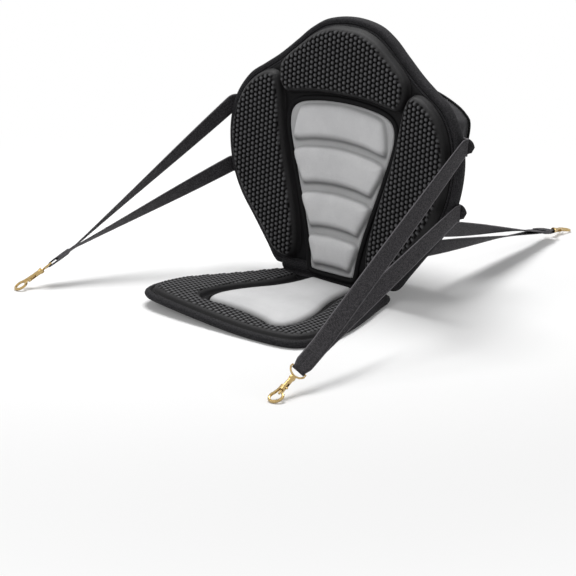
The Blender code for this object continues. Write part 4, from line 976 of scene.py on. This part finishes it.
pack_cloth = fabric("pack_cloth", (0.050, 0.049, 0.052), (0.036, 0.035, 0.038), 0.65, speckle=400.0,
                    weave=1800.0, depth=0.00012, specular=0.12, sheen=0.05)
rings = [(-0.004 * math.sin(math.pi * share / SEAM_SHARE), share) for share in np.linspace(0.0, SEAM_SHARE, 19)]
rings += [(0.0015, 0.94), (0.005, 0.975), (0.010, 0.995), (0.016, 1.0)]
bm, foot = crowned(PACK, rings, 0.007)
pack = settle(bm, "pack_shell", no_rise, on_pack, pack_cloth, "pack_cloth", "pack_body", close=foot)
rest = np.array([vertex.co for vertex in pack.data.vertices])
flange_points = unwrapped(with_level(np.zeros((1, 2)), PACK_START))
out = np.array([0.0, -math.cos(RECLINE), math.sin(RECLINE)])
behind = (flange_points[0] - rest) @ out
# The flange and the seam hold the cloth, and between them it may move this far
held = pack.vertex_groups.new(name="held")
CLOTH_LIMIT = 0.006
seam = np.abs(behind - SEAM_SHARE * pack_depth(rest[:, 2] / math.cos(RECLINE)) - 0.009)
grip = np.maximum(1.0 - smooth_step(behind, 0.002, 0.020), 1.0 - smooth_step(seam, 0.006, 0.020))
for index, share in enumerate(grip):
    held.add([index], float(share), "REPLACE")
cloth = pack.modifiers.new("cloth", "CLOTH")
cloth.settings.quality = 6
cloth.settings.mass = 0.15
cloth.settings.tension_stiffness = 12.0
cloth.settings.compression_stiffness = 12.0
cloth.settings.shear_stiffness = 6.0
cloth.settings.bending_stiffness = 0.25
cloth.settings.use_pressure = True
cloth.settings.uniform_pressure_force = 3.0
cloth.settings.shrink_min = -0.035
cloth.settings.vertex_group_mass = "held"
cloth.settings.effector_weights.gravity = 0.35
for step in range(1, 22):
    scene.frame_set(step)
shaped = pack.evaluated_get(bpy.context.evaluated_depsgraph_get()).to_mesh()
moved = np.array([vertex.co for vertex in shaped.vertices]) - rest
reach = np.linalg.norm(moved, axis=1)
moved *= np.where(reach > CLOTH_LIMIT, CLOTH_LIMIT / np.maximum(reach, 1e-9), 1.0)[:, None]
pack.modifiers.remove(cloth)
scene.frame_set(1)
for vertex, point in zip(pack.data.vertices, rest + moved):
    vertex.co = point
fine = pack.modifiers.new("fine", "SUBSURF")
fine.levels = fine.render_levels = 1

BACKING = inset(PACK, -0.012)
bm, foot = crowned(BACKING, [(0.0012, PACK_START + GAP), (0.0, PACK_START + 0.0016), (0.0, PACK_START + 0.0030),
                             (0.0012, COVER_BACK - GAP), (0.012, COVER_BACK - GAP)], 0.012)
settle(bm, "pack_backing", no_rise, unwrapped, pack_cloth, "pack_cloth", "pack_flange", close=foot)


def on_seam(points):
    """(across, up, level ahead of the seam round the pack's back) as places."""
    flat = np.array(points, float)
    flat[:, 2] = SEAM_SHARE - flat[:, 2] / pack_depth(flat[:, 1])
    return on_pack(flat)


backing_piping = round_section(-0.0025, PACK_START + 0.0025, 0.0024, 0.0024, sides=12)
band("pack_backing_piping", BACKING, backing_piping, unwrapped, valley_cloth, "binding_cloth",
     "pack_flange_piping")
edge_piping = round_section(-0.0028, 0.0, 0.0022, 0.0022, sides=12)
band("pack_edge_piping", PACK, edge_piping, on_seam, valley_cloth, "binding_cloth", "pack_rear_piping")

# Zip of the pack: woven tape over the top and down both sides, sewn into the cloth, with a double row of coil
# teeth. A pull of the same webbing as the legs hangs from its slider.
ZIP_SHARE, ZIP_REACH, ZIP_WIDTH = 0.30, 0.335, 0.024
top = int(np.argmax(PACK[:, 1]))
count = int(round(ZIP_REACH * len(PACK)))
order = [(top + step) % len(PACK) for step in range(-count, count + 1)]
line = inset(PACK, -0.0052)[order]
zip_stations = [(Vector(point), -Vector(out), ZIP_WIDTH) for point in on_pack(with_level(line, ZIP_SHARE))]
zip_tape = tape("zip_tape", (0.022, 0.022, 0.024), (0.010, 0.010, 0.011), 0.55, pitch=0.0016)
ribbon("pack_zip_tape", zip_stations, zip_tape, "binding_cloth", "pack_zip", thickness=0.0014, step=0.006)
teeth = fabric("zip_teeth", (0.020, 0.020, 0.021), (0.016, 0.016, 0.017), 0.3)


def on_zip(points):
    flat = np.array(points, float)
    flat[:, 2] += ZIP_SHARE
    return on_pack(flat)


line = inset(PACK, -0.0062)[order]
rows = [with_level(line, level) for level in (-0.008, 0.008)]
stitches("pack_zip_teeth", rows, on_zip, teeth, "binding_cloth", pitch=0.0026, thread=0.0022, closed=False)
pull_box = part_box("pack_zip_pull")
middle = (pull_box[0] + pull_box[1]) / 2
ends = [(middle + BACK_UP * reach, Vector((0.0, 1.0, 0.0)), 0.010) for reach in (-0.016, 0.0, 0.016)]
ribbon("pack_pull_webbing", ends, webbing, "webbing", "pack_zip_pull", thickness=0.0020)

# Bolt snaps, slides, zip slider and board: the snaps are cast and turned brass, polished and a little
# scratched. The slides are moulded black plastic, and the board inside the backrest is pale plastic.


def solid(name, colour, roughness, metallic, scratch):
    material = bpy.data.materials.new(name)
    tree, shader, add = node_set(material)
    place = add("TexCoord").outputs["Object"]
    patch = add("TexNoise", {"Vector": place, "Scale": 220.0, "Detail": 4.0}).outputs["Fac"]
    level = add("MapRange", {"Value": patch, "From Min": 0.3, "From Max": 0.7,
                             "To Min": roughness * 0.75, "To Max": roughness * 1.35}).outputs[0]
    tree.links.new(level, shader.inputs["Roughness"])
    wear_and_painted_light = (*(part * 0.60 for part in colour), 1.0)
    tint = add("MixRGB", {"Fac": patch, "Color1": wear_and_painted_light, "Color2": (*colour, 1.0)})
    tree.links.new(tint.outputs["Color"], shader.inputs["Base Color"])
    shader.inputs["Metallic"].default_value = metallic
    grain = add("TexNoise", {"Vector": place, "Scale": 1600.0, "Detail": 2.0}).outputs["Fac"]
    raised = add("Bump", {"Height": grain, "Strength": 0.5, "Distance": scratch})
    tree.links.new(raised.outputs[0], shader.inputs["Normal"])
    return material


brass = solid("polished_brass", (0.60, 0.43, 0.19), 0.18, 1.0, 0.00003)
plastic = solid("black_plastic", (0.014, 0.014, 0.015), 0.38, 0.0, 0.00008)
board = solid("board", (0.50, 0.50, 0.48), 0.5, 0.0, 0.0001)
finishes = {"eye": brass, "hook": brass, "bolt": brass, "slide": plastic, "slider": plastic,
            "stiffener": board}
for name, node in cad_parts.items():
    kind = name.split("_")[-1]
    if kind in finishes:
        node.data.materials.clear()
        node.data.materials.append(finishes[kind])
